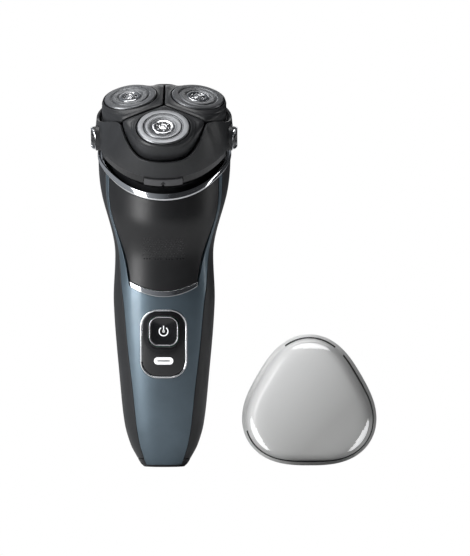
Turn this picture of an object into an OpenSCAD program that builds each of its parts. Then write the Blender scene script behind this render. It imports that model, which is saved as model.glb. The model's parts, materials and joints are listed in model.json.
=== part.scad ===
// Rotary electric shaver: a leaning three-head shaving unit on a lofted handle,
// with a clear protective cap standing beside it.
// X runs across the handle, -Y is the front, +Z is up. The origin is the middle of the foot.

/* [Handle] */
// Height of the middle of the collar plane above the foot
handle_h = 129.8; // [122:0.2:160]
// Width of the flat foot
foot_w = 17; // [13:0.5:20]
// Depth of the flat foot
foot_d = 18; // [14:0.5:22]
// Width at the fullest part of the lower handle
belly_w = 42.4; // [38:0.2:52]
// Height of the fullest part
belly_z = 69; // [56:1:74]
// Depth from the handle's middle line to its front face
front_depth = 17.6; // [16.4:0.1:22]
// Depth from the handle's middle line to its back
back_depth = 18.2; // [17.4:0.1:22]
// Width at the waist under the collar
waist_w = 41.2; // [37:0.2:48]
// How far the shaving unit leans forward, in degrees
lean = 33; // [26:1:38]
// Wall thickness of the handle's shells
shell_wall = 1.8; // [1.4:0.1:2.2]
// Gap left at a seam between two covers
seam = 0.15; // [0.1:0.05:0.3]

/* [Collar] */
// Mean radius of the collar
collar_r = 27.3; // [26.4:0.1:29]
// How far the collar's three corners stand out from its mean radius
collar_lobe = 1.9; // [0.5:0.1:3]
// Height of the bright collar ring at the front
collar_band = 2.8; // [1.6:0.1:4]

/* [Control panel] */
// Width of the control panel
panel_w = 17.9; // [16.4:0.1:22]
// Height of the control panel
panel_h = 27.2; // [26:0.2:34]
// Height of the control panel's middle above the foot
panel_z = 51.6; // [46:0.2:56]
// Corner radius of the control panel
panel_corner = 6.4; // [4:0.2:8]
// Width of the bright rim around the control panel
rim_w = 0.8; // [0.5:0.1:1.2]
// Width and height of the power button
button_size = 11.6; // [9:0.2:13]
// Height of the power button's middle above the panel's middle
button_up = 5.2; // [4:0.1:6]
// Length of the status light
light_w = 8; // [5:0.2:10]
// Height of the status light
light_h = 3; // [2:0.1:4]

/* [Shaving unit] */
// Distance from the unit's axis to the middle of each shaving head
head_pitch_r = 16.4; // [16:0.1:18]
// Radius of a steel guard
guard_r = 11; // [10:0.1:11.4]
// How far each head leans outwards, in degrees
head_cant = 8.8; // [6:0.2:10]
// Mean radius of the head shell
unit_r = 28.7; // [28:0.1:31]
// How far the head shell's three corners stand out
unit_lobe = 1.5; // [0.5:0.1:2.5]
// Gap between two head pods
pod_gap = 1; // [0.9:0.05:1.4]
// How far a guard floats inwards when it is pressed
float_travel = 1; // [0.5:0.1:1]
// Number of slots in a guard
guard_slots = 30; // [12:1:40]
// Number of blades on a cutter
blade_count = 9; // [5:1:12]

/* [Drive] */
// Gear module
gear_module = 0.5; // [0.5:0.1:0.5]
// Teeth on the motor pinion
pinion_teeth = 10; // [9:1:12]
// Teeth on the drive gear
drive_teeth = 22; // [18:1:24]
// Teeth on the sun gear
sun_teeth = 30; // [24:1:30]
// Teeth on each spindle gear
spindle_teeth = 32; // [28:1:34]
// Radius of the motor can
motor_r = 9; // [8:0.2:9.4]
// Length of the motor can
motor_h = 11.5; // [8:0.5:12]
// Diameter of the battery cell
cell_d = 14; // [10:0.5:14.5]
// Length of the battery cell
cell_h = 48; // [30:1:50]

/* [Cap] */
// Wall thickness of the protective cap
cap_wall = 0.9; // [0.8:0.1:1.4]
// Depth of the protective cap
cap_depth = 15; // [12:0.5:20]
// Distance from the shaver's middle to the cap's middle
cap_x = 61; // [60:1:80]

/* [Hidden] */
$fn = 48;
pi = 3.14159265;

// Blends and profiles ------------------------------------------------------------------
function clamp01(t) = min(1, max(0, t));
function ease(t) = let (c = clamp01(t)) c * c * (3 - 2 * c);
function mix(a, b, t) = a + (b - a) * t;
function span_of(table, z, i = 0) = (i >= len(table) - 2 || z < table[i + 1][0]) ? i : span_of(table, z, i + 1);
function slope_at(table, k, i) =
    let (a = max(0, i - 1), b = min(len(table) - 1, i + 1))
    (table[b][k] - table[a][k]) / (table[b][0] - table[a][0]);
// Column k of a table at height z, on a smooth curve through its rows
function curve(table, k, z) =
    let (
        i = span_of(table, z),
        h = table[i + 1][0] - table[i][0],
        t = clamp01((z - table[i][0]) / h),
        m0 = slope_at(table, k, i) * h,
        m1 = slope_at(table, k, i + 1) * h
    )
    (2 * t^3 - 3 * t^2 + 1) * table[i][k] + (t^3 - 2 * t^2 + t) * m0
        + (3 * t^2 - 2 * t^3) * table[i + 1][k] + (t^3 - t^2) * m1;

// Handle surface -----------------------------------------------------------------------
waist_z = handle_h - 40;
collar_front = collar_r + collar_lobe;
collar_back = collar_r - collar_lobe;
section_power = 2.3;   // squareness of the handle's cross-section
// Height on the spine, half width, depth to the front, depth to the back, spine's place in Y
stations = [
    [0, foot_w / 2, foot_d / 2, foot_d / 2, 0],
    [1.2, foot_w / 2 + 1.3, foot_d / 2 + 1.1, foot_d / 2 + 1.1, 0],
    [4, belly_w / 2 - 9.8, front_depth - 6.4, back_depth - 6.8, 0],
    [9.2, belly_w / 2 - 7.1, front_depth - 4.6, back_depth - 4.8, 0],
    [18, belly_w / 2 - 4.6, front_depth - 2.7, back_depth - 2.8, 0],
    [36, belly_w / 2 - 2.6, front_depth - 0.9, back_depth - 0.8, 0],
    [belly_z, belly_w / 2, front_depth, back_depth, 0],
    [waist_z, waist_w / 2, front_depth + 0.4, back_depth + 0.5, 0.4],
    [handle_h - 25, waist_w / 2 + 1.3, front_depth + 2.7, back_depth + 2.4, 0.9],
    [handle_h - 12, collar_r - 2.3, collar_front - 3.9, collar_back - 2.3, 1.3],
    [handle_h, collar_r, collar_front, collar_back, 1.5]
];
lean_from = handle_h - 68.4;   // the spine's sections start to lean here
function lean_at(z) = lean * ease((z - lean_from) / (handle_h - lean_from));
function spine_y(z) = curve(stations, 4, z);
function three_lobe(mean, lobe, a) = mean + lobe * cos(3 * a);
// Distance from the spine to the surface at angle a from the front
function handle_r(a, z) =
    let (
        depth = cos(a) > 0 ? curve(stations, 2, z) : curve(stations, 3, z),
        oval = 1 / ((abs(sin(a)) / curve(stations, 1, z))^section_power
            + (abs(cos(a)) / depth)^section_power)^(1 / section_power),
        share = ease((z - waist_z) / (handle_h - waist_z))
    )
    mix(oval, three_lobe(collar_r, collar_lobe, a), share);
// A point of the handle at angle a, spine height z and inset from the surface
function handle_point(a, z, inset = 0) =
    let (r = handle_r(a, z) - inset, t = lean_at(z))
    [r * sin(a), spine_y(z) - r * cos(a) * cos(t), z - r * cos(a) * sin(t)];

// Angle of the front shell's edge, and of the front panel's edge, by spine height
edges = [
    [0, 45, 40], [28, 45, 40], [50, 50.5, 42], [belly_z, 54.5, 44], [belly_z + 9, 59, 46.5],
    [handle_h - 27, 68, 61], [handle_h, 71.5, 65]
];
function shell_edge(z) = curve(edges, 1, z);
function panel_edge(z) = curve(edges, 2, z);
shell_bottom = 3.4;
shell_top = handle_h - 1.1;
arc_mid = belly_z + 5.5;   // spine height of the front panel's lower edge at its middle
arc_rise = 5.2;            // how much higher that edge is at its ends
strip_h = 2.8;             // height of the bright strip under it, at its middle
function arc_z(a, z = belly_z + 12) = arc_mid + arc_rise * (a / panel_edge(z))^2;
// Spine height of the collar ring's lower edge
function band_z(a) = handle_h - mix(1.3, collar_band, (1 + cos(a)) / 2);

// Thick curved sheets ------------------------------------------------------------------
// A closed solid between two grids of points, over u and v from 0 to 1.
// With around set, the grid closes on itself in u.
module sheet(nu, nv, outer, inner, around = false) {
    cols = around ? nu : nu + 1;
    rows = nv + 1;
    n = cols * rows;
    pts = concat(
        [for (j = [0 : nv], i = [0 : cols - 1]) outer(i / nu, j / nv)],
        [for (j = [0 : nv], i = [0 : cols - 1]) inner(i / nu, j / nv)]
    );
    function at(i, j, side) = side * n + j * cols + i % cols;
    faces = concat(
        [for (j = [0 : nv - 1], i = [0 : nu - 1]) each [
            [at(i, j, 0), at(i, j + 1, 0), at(i + 1, j + 1, 0)],
            [at(i, j, 0), at(i + 1, j + 1, 0), at(i + 1, j, 0)],
            [at(i, j, 1), at(i + 1, j + 1, 1), at(i, j + 1, 1)],
            [at(i, j, 1), at(i + 1, j, 1), at(i + 1, j + 1, 1)]
        ]],
        [for (i = [0 : nu - 1]) each [
            [at(i, 0, 0), at(i + 1, 0, 0), at(i + 1, 0, 1)],
            [at(i, 0, 0), at(i + 1, 0, 1), at(i, 0, 1)],
            [at(i, nv, 0), at(i + 1, nv, 1), at(i + 1, nv, 0)],
            [at(i, nv, 0), at(i, nv, 1), at(i + 1, nv, 1)]
        ]],
        around ? [] : [for (j = [0 : nv - 1]) each [
            [at(0, j, 0), at(0, j, 1), at(0, j + 1, 1)],
            [at(0, j, 0), at(0, j + 1, 1), at(0, j + 1, 0)],
            [at(nu, j, 0), at(nu, j + 1, 1), at(nu, j, 1)],
            [at(nu, j, 0), at(nu, j + 1, 0), at(nu, j + 1, 1)]
        ]]
    );
    polyhedron(pts, faces);
}

// A patch of the handle's surface between two bounds in angle and in spine height.
// lo and hi give the height bounds at an angle; edge gives the half angle at a height.
module handle_patch(nu, nv, edge, lo, hi, proud, thick) {
    function place(u, v, inset) =
        let (
            a0 = (2 * u - 1) * edge(mix(lo(0), hi(0), v)),
            a1 = (2 * u - 1) * edge(mix(lo(a0), hi(a0), v)),
            a = (2 * u - 1) * edge(mix(lo(a1), hi(a1), v))
        )
        handle_point(a, mix(lo(a), hi(a), v), inset);
    sheet(nu, nv, function (u, v) place(u, v, -proud), function (u, v) place(u, v, thick));
}
module rounded(w, h, r) {
    square([w, h - 2 * r], center = true);
    square([w - 2 * r, h], center = true);
    for (x = [-1, 1], y = [-1, 1])
        translate([x * (w / 2 - r), y * (h / 2 - r)])
            circle(r);
}
// Stands a flat shape up so that it faces the front, between two depths from the spine
module facing_front(y0, y1, z) {
    translate([0, -y1, z])
        rotate([90, 0, 0])
            linear_extrude(y0 - y1)
                children();
}
module lobed(mean, lobe, n = 72) {
    polygon([for (i = [0 : n - 1]) let (a = i * 360 / n, r = three_lobe(mean, lobe, a))
        [r * sin(a), -r * cos(a)]]);
}
module bar(r, z0, z1) {
    translate([0, 0, z0])
        cylinder(r = r, h = z1 - z0);
}

// Gears with involute teeth -------------------------------------------------------------
backlash = 0.12;
function involute(rb, r) = let (t = acos(min(1, rb / r))) tan(t) * 180 / pi - t;
module gear(teeth, h) {
    rp = teeth * gear_module / 2;
    rb = rp * cos(20);
    tip = rp + 0.85 * gear_module;
    root = rp - 1.15 * gear_module;
    half = 90 / teeth - backlash / rp * 90 / pi;
    steps = 4;
    r0 = max(rb, root + 0.02);
    flank = [for (i = [0 : steps]) let (r = mix(r0, tip, i / steps))
        [r, half + involute(rb, rp) - involute(rb, r)]];
    linear_extrude(h)
        polygon([for (k = [0 : teeth - 1]) let (a = k * 360 / teeth) each concat(
            [[root * cos(a - flank[0][1]), root * sin(a - flank[0][1])]],
            [for (f = flank) [f[0] * cos(a - f[1]), f[0] * sin(a - f[1])]],
            [for (i = [steps : -1 : 0]) let (f = flank[i]) [f[0] * cos(a + f[1]), f[0] * sin(a + f[1])]],
            [[root * cos(a + flank[0][1]), root * sin(a + flank[0][1])]]
        )]);
}

// Turn of a gear with n teeth that meshes with one of m teeth standing in direction +Y of it, when
// that other gear has a tooth at angle 0 and sees this one in the direction given
function mesh_turn(direction, m, n) =
    let (p = direction * m / 360)
    90 + (p - floor(p) + 0.5) * 360 / n;

// Levels in the shaving unit, along its axis below the middle of the guards ---------------
collar_drop = 25;
collar_z = -collar_drop;
pivot_z = -15.3;
shell_foot = -17;
band_top = -17.3;
band_foot = -21;
floor_top = -16.2;
gear_z = -19.6;
gear_h = 2;
cover_foot = -21.6;
neck_floor = -28.6;
drive_z = -31.2;
plate_z = -32.8;
hinge_y = unit_r - unit_lobe - 0.6;
hinge_z = -18.85;
spindle_r = gear_module * (sun_teeth + spindle_teeth) / 2;
motor_y = gear_module * (pinion_teeth + drive_teeth) / 2;
ball_down = (head_pitch_r - spindle_r) / tan(head_cant);
pod_angles = [0, 120, -120];
module unit_frame() {
    translate([0, spine_y(handle_h) - collar_drop * sin(lean), handle_h + collar_drop * cos(lean)])
        rotate([lean, 0, 0])
            children();
}
module at_head(i) {
    unit_frame()
        rotate([0, 0, pod_angles[i]])
            translate([0, -head_pitch_r, 0])
                rotate([head_cant, 0, 0])
                    children();
}

// Handle ---------------------------------------------------------------------------------
module base_cap() color("#1b1c1f") {
    difference() {
        union() {
            sheet(40, 3,
                function (u, v) handle_point(u * 360, v * (shell_bottom - seam)),
                function (u, v) handle_point(u * 360, v * (shell_bottom - seam), 2.4), true);
            linear_extrude(1.6)
                polygon([for (i = [0 : 39]) let (r = handle_r(i * 9, 0) - 1.2)
                    [r * sin(i * 9), -r * cos(i * 9)]]);
        }
        translate([0, inlet_y, -1])
            linear_extrude(5)
                rounded(inlet_w, inlet_d, inlet_d / 2 - 0.01);
    }
}
inlet_y = 4.4;
inlet_w = 9;
inlet_d = 5.2;
module charging_inlet() color("#2a2b2e") {
    translate([0, inlet_y, 0.3])
        difference() {
            linear_extrude(7)
                rounded(inlet_w - 0.1, inlet_d - 0.1, inlet_d / 2 - 0.06);
            translate([0, 0, -1])
                linear_extrude(6.6)
                    rounded(inlet_w - 1.3, inlet_d - 1.3, inlet_d / 2 - 0.66);
            for (x = [-1, 1])
                translate([x * 1.9, 0, 4])
                    cylinder(r = 0.65, h = 5);
        }
}
module inlet_pins() color("#c9ccd1") {
    for (x = [-1, 1])
        translate([x * 1.9, inlet_y, 2.2]) {
            cylinder(r = 0.6, h = 6.8);
            sphere(r = 0.6);
        }
}
function grip_point(u, v, inset) =
    let (
        z0 = mix(shell_bottom, shell_top, v),
        e = shell_edge(z0) + seam / handle_r(60, z0) * 57.3,
        a = e + u * (360 - 2 * e),
        z = mix(shell_bottom, min(shell_top, band_z(a) - seam), v)
    )
    handle_point(a, z, inset);
module rear_grip() color("#222327") {
    sheet(30, 26, function (u, v) grip_point(u, v, 0), function (u, v) grip_point(u, v, shell_wall));
}
module front_shell() color("#4f6d8e") {
    difference() {
        handle_patch(22, 30, function (z) shell_edge(z), function (a) shell_bottom,
            function (a) band_z(a) - seam, 0, shell_wall);
        handle_patch(14, 20, function (z) panel_edge(z) + 0.25,
            function (a) arc_z(a) - mix(strip_h, 2.2, (a / panel_edge(belly_z + 12))^2) - seam,
            function (a) handle_h + 6, 5, shell_wall + 5);
        facing_front(40, 0, panel_z)
            rounded(panel_w + 2 * rim_w + 0.1, panel_h + 2 * rim_w + 0.1, panel_corner + rim_w);
    }
}
module front_panel() color("#0c0c0e") {
    handle_patch(14, 20, function (z) panel_edge(z) - 0.25, function (a) arc_z(a) + 0.1,
        function (a) band_z(a) - seam, 0, shell_wall);
}
module panel_trim() color("#c4c7cc") {
    handle_patch(14, 2, function (z) panel_edge(z) - 0.25,
        function (a) arc_z(a) - mix(strip_h, 2.2, (a / panel_edge(belly_z + 12))^2),
        function (a) arc_z(a) - 0.05, 0.3, shell_wall);
}
module collar_ring() color("#d4d6da") {
    sheet(60, 2,
        function (u, v) handle_point(u * 360, mix(band_z(u * 360), handle_h, v), -0.35),
        function (u, v) handle_point(u * 360, mix(band_z(u * 360), handle_h, v), shell_wall), true);
}
lug_in = 24.8;
lug_out = 26;
module neck_frame() color("#161719") {
    difference() {
        unit_frame()
            difference() {
                translate([0, 0, neck_floor])
                    linear_extrude(-24.9 - neck_floor)
                        lobed(collar_r - 4.1, collar_lobe - 0.3);
                translate([0, 0, neck_floor + 1.4])
                    linear_extrude(10)
                        lobed(collar_r - 6.4, collar_lobe);
                bar(3, neck_floor - 1, 0);
            }
        translate([-40, back_depth + 1.9, 0])
            cube([80, 40, 300]);
    }
    unit_frame()
        for (s = [0, 1])
            mirror([s, 0, 0])
                difference() {
                    union() {
                        translate([lug_in, -lug_r, -24.85])
                            cube([lug_out - lug_in, 2 * lug_r, pivot_z + 24.85]);
                        translate([21.4, -lug_r, -24.85])
                            cube([lug_out - 21.4, 2 * lug_r, 1.2]);
                        translate([21.4, -lug_r, -26.4])
                            cube([2.6, 2 * lug_r, 2]);
                        translate([lug_in, 0, pivot_z])
                            rotate([0, 90, 0])
                                cylinder(r = lug_r, h = lug_out - lug_in);
                    }
                    translate([20, 0, pivot_z])
                        rotate([0, 90, 0])
                            cylinder(r = pin_r + 0.04, h = 10);
                }
}
lug_r = 2.95;
pin_r = 2;

// Control panel ----------------------------------------------------------------------------
button_z = panel_z + button_up;
light_z = panel_z - 7.1;
module panel_patch(proud, thick) {
    handle_patch(12, 10, function (z) 48, function (a) panel_z - panel_h / 2 - 3,
        function (a) panel_z + panel_h / 2 + 3, proud, thick);
}
module control_panel() color("#0b0b0d") {
    difference() {
        intersection() {
            panel_patch(0.2, 1.6);
            facing_front(40, 0, panel_z)
                rounded(panel_w, panel_h, panel_corner);
        }
        facing_front(40, 0, button_z)
            rounded(button_size + 1.9, button_size + 1.9, 4.2);
        facing_front(40, 0, light_z)
            rounded(light_w + 0.1, light_h + 0.1, light_h / 2 + 0.04);
    }
}
module panel_rim() color("#cfd2d6") {
    intersection() {
        panel_patch(0.4, 1.6);
        facing_front(40, 0, panel_z)
            difference() {
                rounded(panel_w + 2 * rim_w, panel_h + 2 * rim_w, panel_corner + rim_w);
                rounded(panel_w + 0.06, panel_h + 0.06, panel_corner + 0.03);
            }
    }
}
front_y = front_depth - 0.4;   // depth of the handle's front behind the button
module status_light() color("#f2f4f6") {
    facing_front(front_y + 0.05, front_y - 2.6, light_z)
        rounded(light_w, light_h, light_h / 2 - 0.01);
}
module power_button() color("#17181a") {
    facing_front(front_y + 0.7, front_y - 3, button_z)
        rounded(button_size - 1.2, button_size - 1.2, 3);
    facing_front(front_y - 2.9, front_y - 4.2, button_z)
        circle(3);
}
module button_ring() color("#d0d3d7") {
    facing_front(front_y + 0.6, front_y - 1.2, button_z)
        difference() {
            rounded(button_size + 1.1, button_size + 1.1, 3.8);
            rounded(button_size - 1.16, button_size - 1.16, 3.02);
        }
}

// Inside the handle --------------------------------------------------------------------------
module chassis() color("#3c3f45") {
    facing_front(5, 3.4, 53)
        square([20, 88], center = true);
    for (x = [-9.2, 9.2])
        facing_front(3.5, -8, 53)
            translate([x, 0])
                square([1.6, 84], center = true);
    for (x = [-7, 7], z = [30, 92])
        facing_front(6.6, 4.9, z)
            translate([x, 0])
                circle(1.6);
}
module circuit_board() color("#1f6b45") {
    facing_front(8, 6.6, 61)
        square([17, 74], center = true);
}
module board_parts() color("#2b2d31") {
    facing_front(9.4, 8, 80)
        square([8, 8], center = true);
    facing_front(9.1, 8, 68.5)
        square([11, 4], center = true);
    facing_front(10.8, 8, light_z)
        square([6, 2.4], center = true);
    for (x = [-4, 4])
        facing_front(11.5, 8, 33)
            translate([x, 0])
                circle(2.6);
}
module switch_housing() color("#9aa0a8") {
    facing_front(11.4, 8, button_z)
        difference() {
            square([6.2, 6.2], center = true);
            circle(1.78);
        }
}
plunger_front = front_y - 4.2;
module switch_plunger() color("#e3e5e8") {
    facing_front(plunger_front, 8.9, button_z)
        circle(1.7);
}
module battery_cell() color("#3f7f9f") {
    translate([0, cell_y, 24])
        cylinder(d = cell_d, h = cell_h);
    translate([0, cell_y, 24 + cell_h - 0.1])
        cylinder(r = 2.6, h = 1);
}
cell_y = cell_d / 2 - 3.3;
module battery_tabs() color("#cfd2d6") {
    translate([-2.5, -3.2, 23.6])
        cube([5, cell_y + 5, 0.4]);
    translate([-2.5, -3.2, 24.9 + cell_h])
        cube([5, cell_y + 5, 0.4]);
}
module motor_plate() color("#c2c5ca") {
    unit_frame() {
        difference() {
            translate([0, -5, plate_z])
                cylinder(r = 14, h = 1.3);
            bar(1.04, plate_z - 1, 0);
            translate([0, -motor_y, 0])
                bar(2, plate_z - 1, 0);
            for (p = plate_posts)
                translate(p)
                    bar(0.75, plate_z - 1, 0);
        }
        for (p = plate_posts)
            translate(p)
                difference() {
                    bar(1.5, plate_z + 1.25, neck_floor);
                    bar(0.75, plate_z, 0);
                }
    }
}
plate_posts = [[-9.6, 0], [9.6, 0], [-9.4, -13], [9.4, -13]];
module plate_screws() color("#8d9096") {
    unit_frame()
        for (p = plate_posts)
            translate(p) {
                bar(0.7, plate_z - 0.5, neck_floor - 0.1);
                difference() {
                    bar(1.4, plate_z - 1.3, plate_z);
                    translate([-1, -0.2, plate_z - 1.5])
                        cube([2, 0.4, 0.8]);
                }
            }
}
module motor_can() color("#a9adb4") {
    unit_frame()
        translate([0, -motor_y, plate_z - 0.02 - motor_h])
            difference() {
                cylinder(r = motor_r, h = motor_h);
                translate([0, 0, -1])
                    cylinder(r = motor_r - 0.8, h = motor_h);
                cylinder(r = 1.4, h = motor_h + 1);
                for (s = [-1, 1])
                    translate([s * (motor_r - 0.5), 0, 4])
                        cube([2, 3, 3], center = true);
            }
}
module motor_end_cap() color("#2e6f5b") {
    unit_frame()
        translate([0, -motor_y, plate_z - motor_h - 1])
            difference() {
                cylinder(r = motor_r - 0.82, h = 2.4);
                translate([0, 0, -1])
                    cylinder(r = 0.83, h = 5);
            }
}
module motor_rotor() color("#b87a45") {
    unit_frame()
        translate([0, -motor_y, 0]) {
            bar(0.8, plate_z - motor_h - 0.8, drive_z);
            bar(motor_r - 1.6, plate_z - motor_h + 2.4, plate_z - 1.6);
            translate([0, 0, drive_z])
                gear(pinion_teeth, 1.8);
        }
}
module drive_shaft() color("#d9dbde") {
    unit_frame() {
        bar(1, plate_z + 0.05, pivot_z);
        translate([0, 0, pivot_z])
            sphere(r = 1.5);
        translate([0, 0, drive_z])
            rotate([0, 0, mesh_turn(270, pinion_teeth, drive_teeth)])
                gear(drive_teeth, 1.8);
    }
}
module shaft_seal() color("#1d1d20") {
    unit_frame()
        difference() {
            bar(2.98, neck_floor, neck_floor + 2);
            bar(1.06, neck_floor - 1, 0);
        }
}

// Shaving unit: the part that tilts -------------------------------------------------------------
module hair_chamber() color("#111214") {
    unit_frame()
        difference() {
            union() {
                translate([0, 0, band_foot])
                    linear_extrude(band_top - band_foot)
                        lobed(unit_r - 1.6, unit_lobe);
                translate([0, 0, band_top - 0.5])
                    linear_extrude(5.2)
                        lobed(unit_r - 3, unit_lobe);
                bar(3.9, floor_top - 1, -12.8);
                for (s = [-1, 1])
                    translate([s > 0 ? knuckle_w / 2 + 0.15 : -knuckle_w / 2 - 4.15, hinge_y, hinge_z])
                        rotate([0, 90, 0])
                            cylinder(r = 1.7, h = 4);
            }
            difference() {
                translate([0, 0, floor_top])
                    linear_extrude(10)
                        lobed(unit_r - 4.4, unit_lobe);
                bar(3.9, floor_top - 1, -12.8);
            }
            bar(3.1, floor_top - 2, -13.4);
            translate([0, 0, band_foot - 1])
                linear_extrude(floor_top - 1.2 - band_foot + 1)
                    lobed(unit_r - 5, unit_lobe);
            for (s = [-1, 1])
                translate([s * 34.4 - 10, -5.2, band_foot - 1])
                    cube([20, 10.4, 12]);
            for (a = pod_angles)
                rotate([0, 0, a])
                    translate([0, -spindle_r, 0])
                        bar(1.1, band_foot, 0);
            translate([-8.3, -40, -20.4])
                cube([16.6, 43.12 - unit_r, 4]);
            translate([-knuckle_w / 2 - 0.15, hinge_y - 2, -30])
                cube([knuckle_w + 0.3, 8, 30]);
            translate([-20, hinge_y, hinge_z])
                rotate([0, 90, 0])
                    cylinder(r = 0.82, h = 40);
            translate([-40, 0, pivot_z])
                rotate([0, 90, 0])
                    cylinder(r = pin_r + 0.01, h = 80);
        }
}
knuckle_w = 8;
module gear_cover() color("#26282b") {
    unit_frame()
        difference() {
            union() {
                translate([0, 0, cover_foot])
                    linear_extrude(band_foot - cover_foot)
                        lobed(unit_r - 4, unit_lobe);
                translate([0, 0, band_foot - 0.01])
                    linear_extrude(1.1)
                        lobed(unit_r - 5.1, unit_lobe);
            }
            bar(2.6, cover_foot - 1, 0);
            for (s = [-1, 1])
                translate([s * 34.4 - 10, -5.2, cover_foot - 1])
                    cube([20, 10.4, 12]);
            for (a = pod_angles)
                rotate([0, 0, a])
                    translate([0, -spindle_r, 0])
                        bar(0.95, cover_foot + 0.4, 0);
        }
}
module pivot_pins() color("#c9ccd1") {
    unit_frame()
        for (s = [-1, 1])
            translate([s > 0 ? 22.4 : -lug_out, 0, pivot_z])
                rotate([0, 90, 0])
                    cylinder(r = pin_r, h = lug_out - 22.4);
}
module hinge_pin() color("#c9ccd1") {
    unit_frame()
        translate([-8, hinge_y, hinge_z])
            rotate([0, 90, 0])
                cylinder(r = 0.8, h = 16);
}
module sun_gear() color("#e6e2d6") {
    unit_frame()
        difference() {
            union() {
                translate([0, 0, gear_z])
                    gear(sun_teeth, gear_h);
                bar(2.9, gear_z + 0.1, -13.5);
            }
            bar(1.9, gear_z - 1, pivot_z - 0.6);
            bar(1.56, gear_z, pivot_z);
            translate([0, 0, pivot_z])
                sphere(r = 1.56);
        }
}
module spindle(i) color("#d9dbde") {
    unit_frame()
        rotate([0, 0, pod_angles[i]])
            translate([0, -spindle_r, 0]) {
                bar(0.9, cover_foot + 0.5, gear_z + 0.5);
                bar(1.05, gear_z + 0.5, floor_top + 0.6);
                bar(0.7, floor_top, -ball_down);
                translate([0, 0, -ball_down])
                    sphere(r = 1);
                translate([0, 0, gear_z])
                    rotate([0, 0, mesh_turn(270 + pod_angles[i], sun_teeth, spindle_teeth)])
                        gear(spindle_teeth, gear_h);
            }
}
module spindle_front() { spindle(0); }
module spindle_right() { spindle(1); }
module spindle_left() { spindle(2); }
module release_button() color("#8f949b") {
    unit_frame()
        difference() {
            translate([0, 0, -20.2])
                linear_extrude(2.8)
                    intersection() {
                        difference() {
                            lobed(unit_r + 0.8, unit_lobe);
                            lobed(unit_r - 1.8, unit_lobe);
                        }
                        translate([-8, -40])
                            square([16, 30]);
                    }
            translate([0, -unit_r - unit_lobe - 0.5, -20.3])
                linear_extrude(1.6)
                    polygon([[-1.1, -1], [1.1, -1], [0, 1]]);
        }
}

// Head: the part that swings open -------------------------------------------------------------------
// Height and radius of the head shell's upper edge, by angle from the middle of a pod
rim_rows = [[0, 30.1], [10, 29.8], [20, 28.7], [30, 26.7], [40, 24.6], [50, 22.8], [60, 21.5]];
function from_pod(a) = let (m = (a % 120 + 120) % 120) min(m, 120 - m);
function rim_z(a) = -1.9 - 7.6 * ease((60 - from_pod(a)) / 45);
function rim_r(a) = curve(rim_rows, 1, from_pod(a)) + unit_r - 28.7 + (unit_lobe - 1.5) * cos(3 * a);
function shell_point(a, v, inset) =
    let (r = mix(three_lobe(unit_r, unit_lobe, a), rim_r(a), v^1.7) - inset)
    [r * sin(a), -r * cos(a), mix(shell_foot, rim_z(a), v)];
module head_shell() color("#2b2d31") {
    unit_frame()
        difference() {
            union() {
                sheet(60, 7, function (u, v) shell_point(u * 360, v, 0),
                    function (u, v) shell_point(u * 360, v, 1.1), true);
                translate([-knuckle_w / 2, hinge_y, hinge_z])
                    rotate([0, 90, 0])
                        cylinder(r = 1.7, h = knuckle_w);
                translate([-knuckle_w / 2, hinge_y - 0.2, hinge_z])
                    cube([knuckle_w, 1.2, 3]);
                for (s = [-1, 1])
                    translate([s > 0 ? 26.4 : -28.6, 0, pivot_z])
                        rotate([0, 90, 0])
                            cylinder(r = 5.5, h = 2.2);
            }
            for (s = [-1, 1])
                translate([s > 0 ? 25 : -35, 0, pivot_z])
                    rotate([0, 90, 0])
                        cylinder(r = 3.6, h = 10);
            for (s = [-1, 1])
                translate([s > 0 ? 27.5 : -35.5, 0, pivot_z])
                    rotate([0, 90, 0])
                        cylinder(r = 4.9, h = 8);
            translate([-20, hinge_y, hinge_z])
                rotate([0, 90, 0])
                    cylinder(r = 0.85, h = 40);
        }
}
module side_cap(s) color("#cfd2d6") {
    unit_frame()
        mirror([s < 0 ? 1 : 0, 0, 0])
            translate([0, 0, pivot_z])
                rotate([0, 90, 0])
                    difference() {
                        union() {
                            translate([0, 0, 27.52])
                                cylinder(r = 4.85, h = 3.1);
                            translate([0, 0, 26.5])
                                cylinder(r = 3.55, h = 1.1);
                        }
                        translate([0, 0, 30.1])
                            difference() {
                                cylinder(r = 3.9, h = 1);
                                cylinder(r = 2.1, h = 1);
                            }
                    }
}
module side_cap_right() { side_cap(1); }
module side_cap_left() { side_cap(-1); }
post_x = 14.3;
module pod_carrier() color("#1a1b1e") {
    difference() {
        unit_frame()
            translate([0, 0, -12.2])
                linear_extrude(1)
                    intersection() {
                        lobed(unit_r - 2.2, unit_lobe + 0.4);
                        square([2 * 26.2, 80], center = true);
                    }
        for (i = [0 : 2])
            at_head(i)
                bar(10.5, -20, 0);
    }
    for (a = pod_angles)
        unit_frame()
            rotate([0, 0, a])
                for (s = [-1, 1])
                    translate([s * (post_x + 0.7), -spindle_r, 0]) {
                        translate([-0.7, -1.2, -12])
                            cube([1.4, 2.4, 7]);
                        translate([s > 0 ? -2.2 : 0, 0, -ball_down])
                            rotate([0, 90, 0])
                                cylinder(r = 0.6, h = 2.2);
                    }
}
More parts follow.
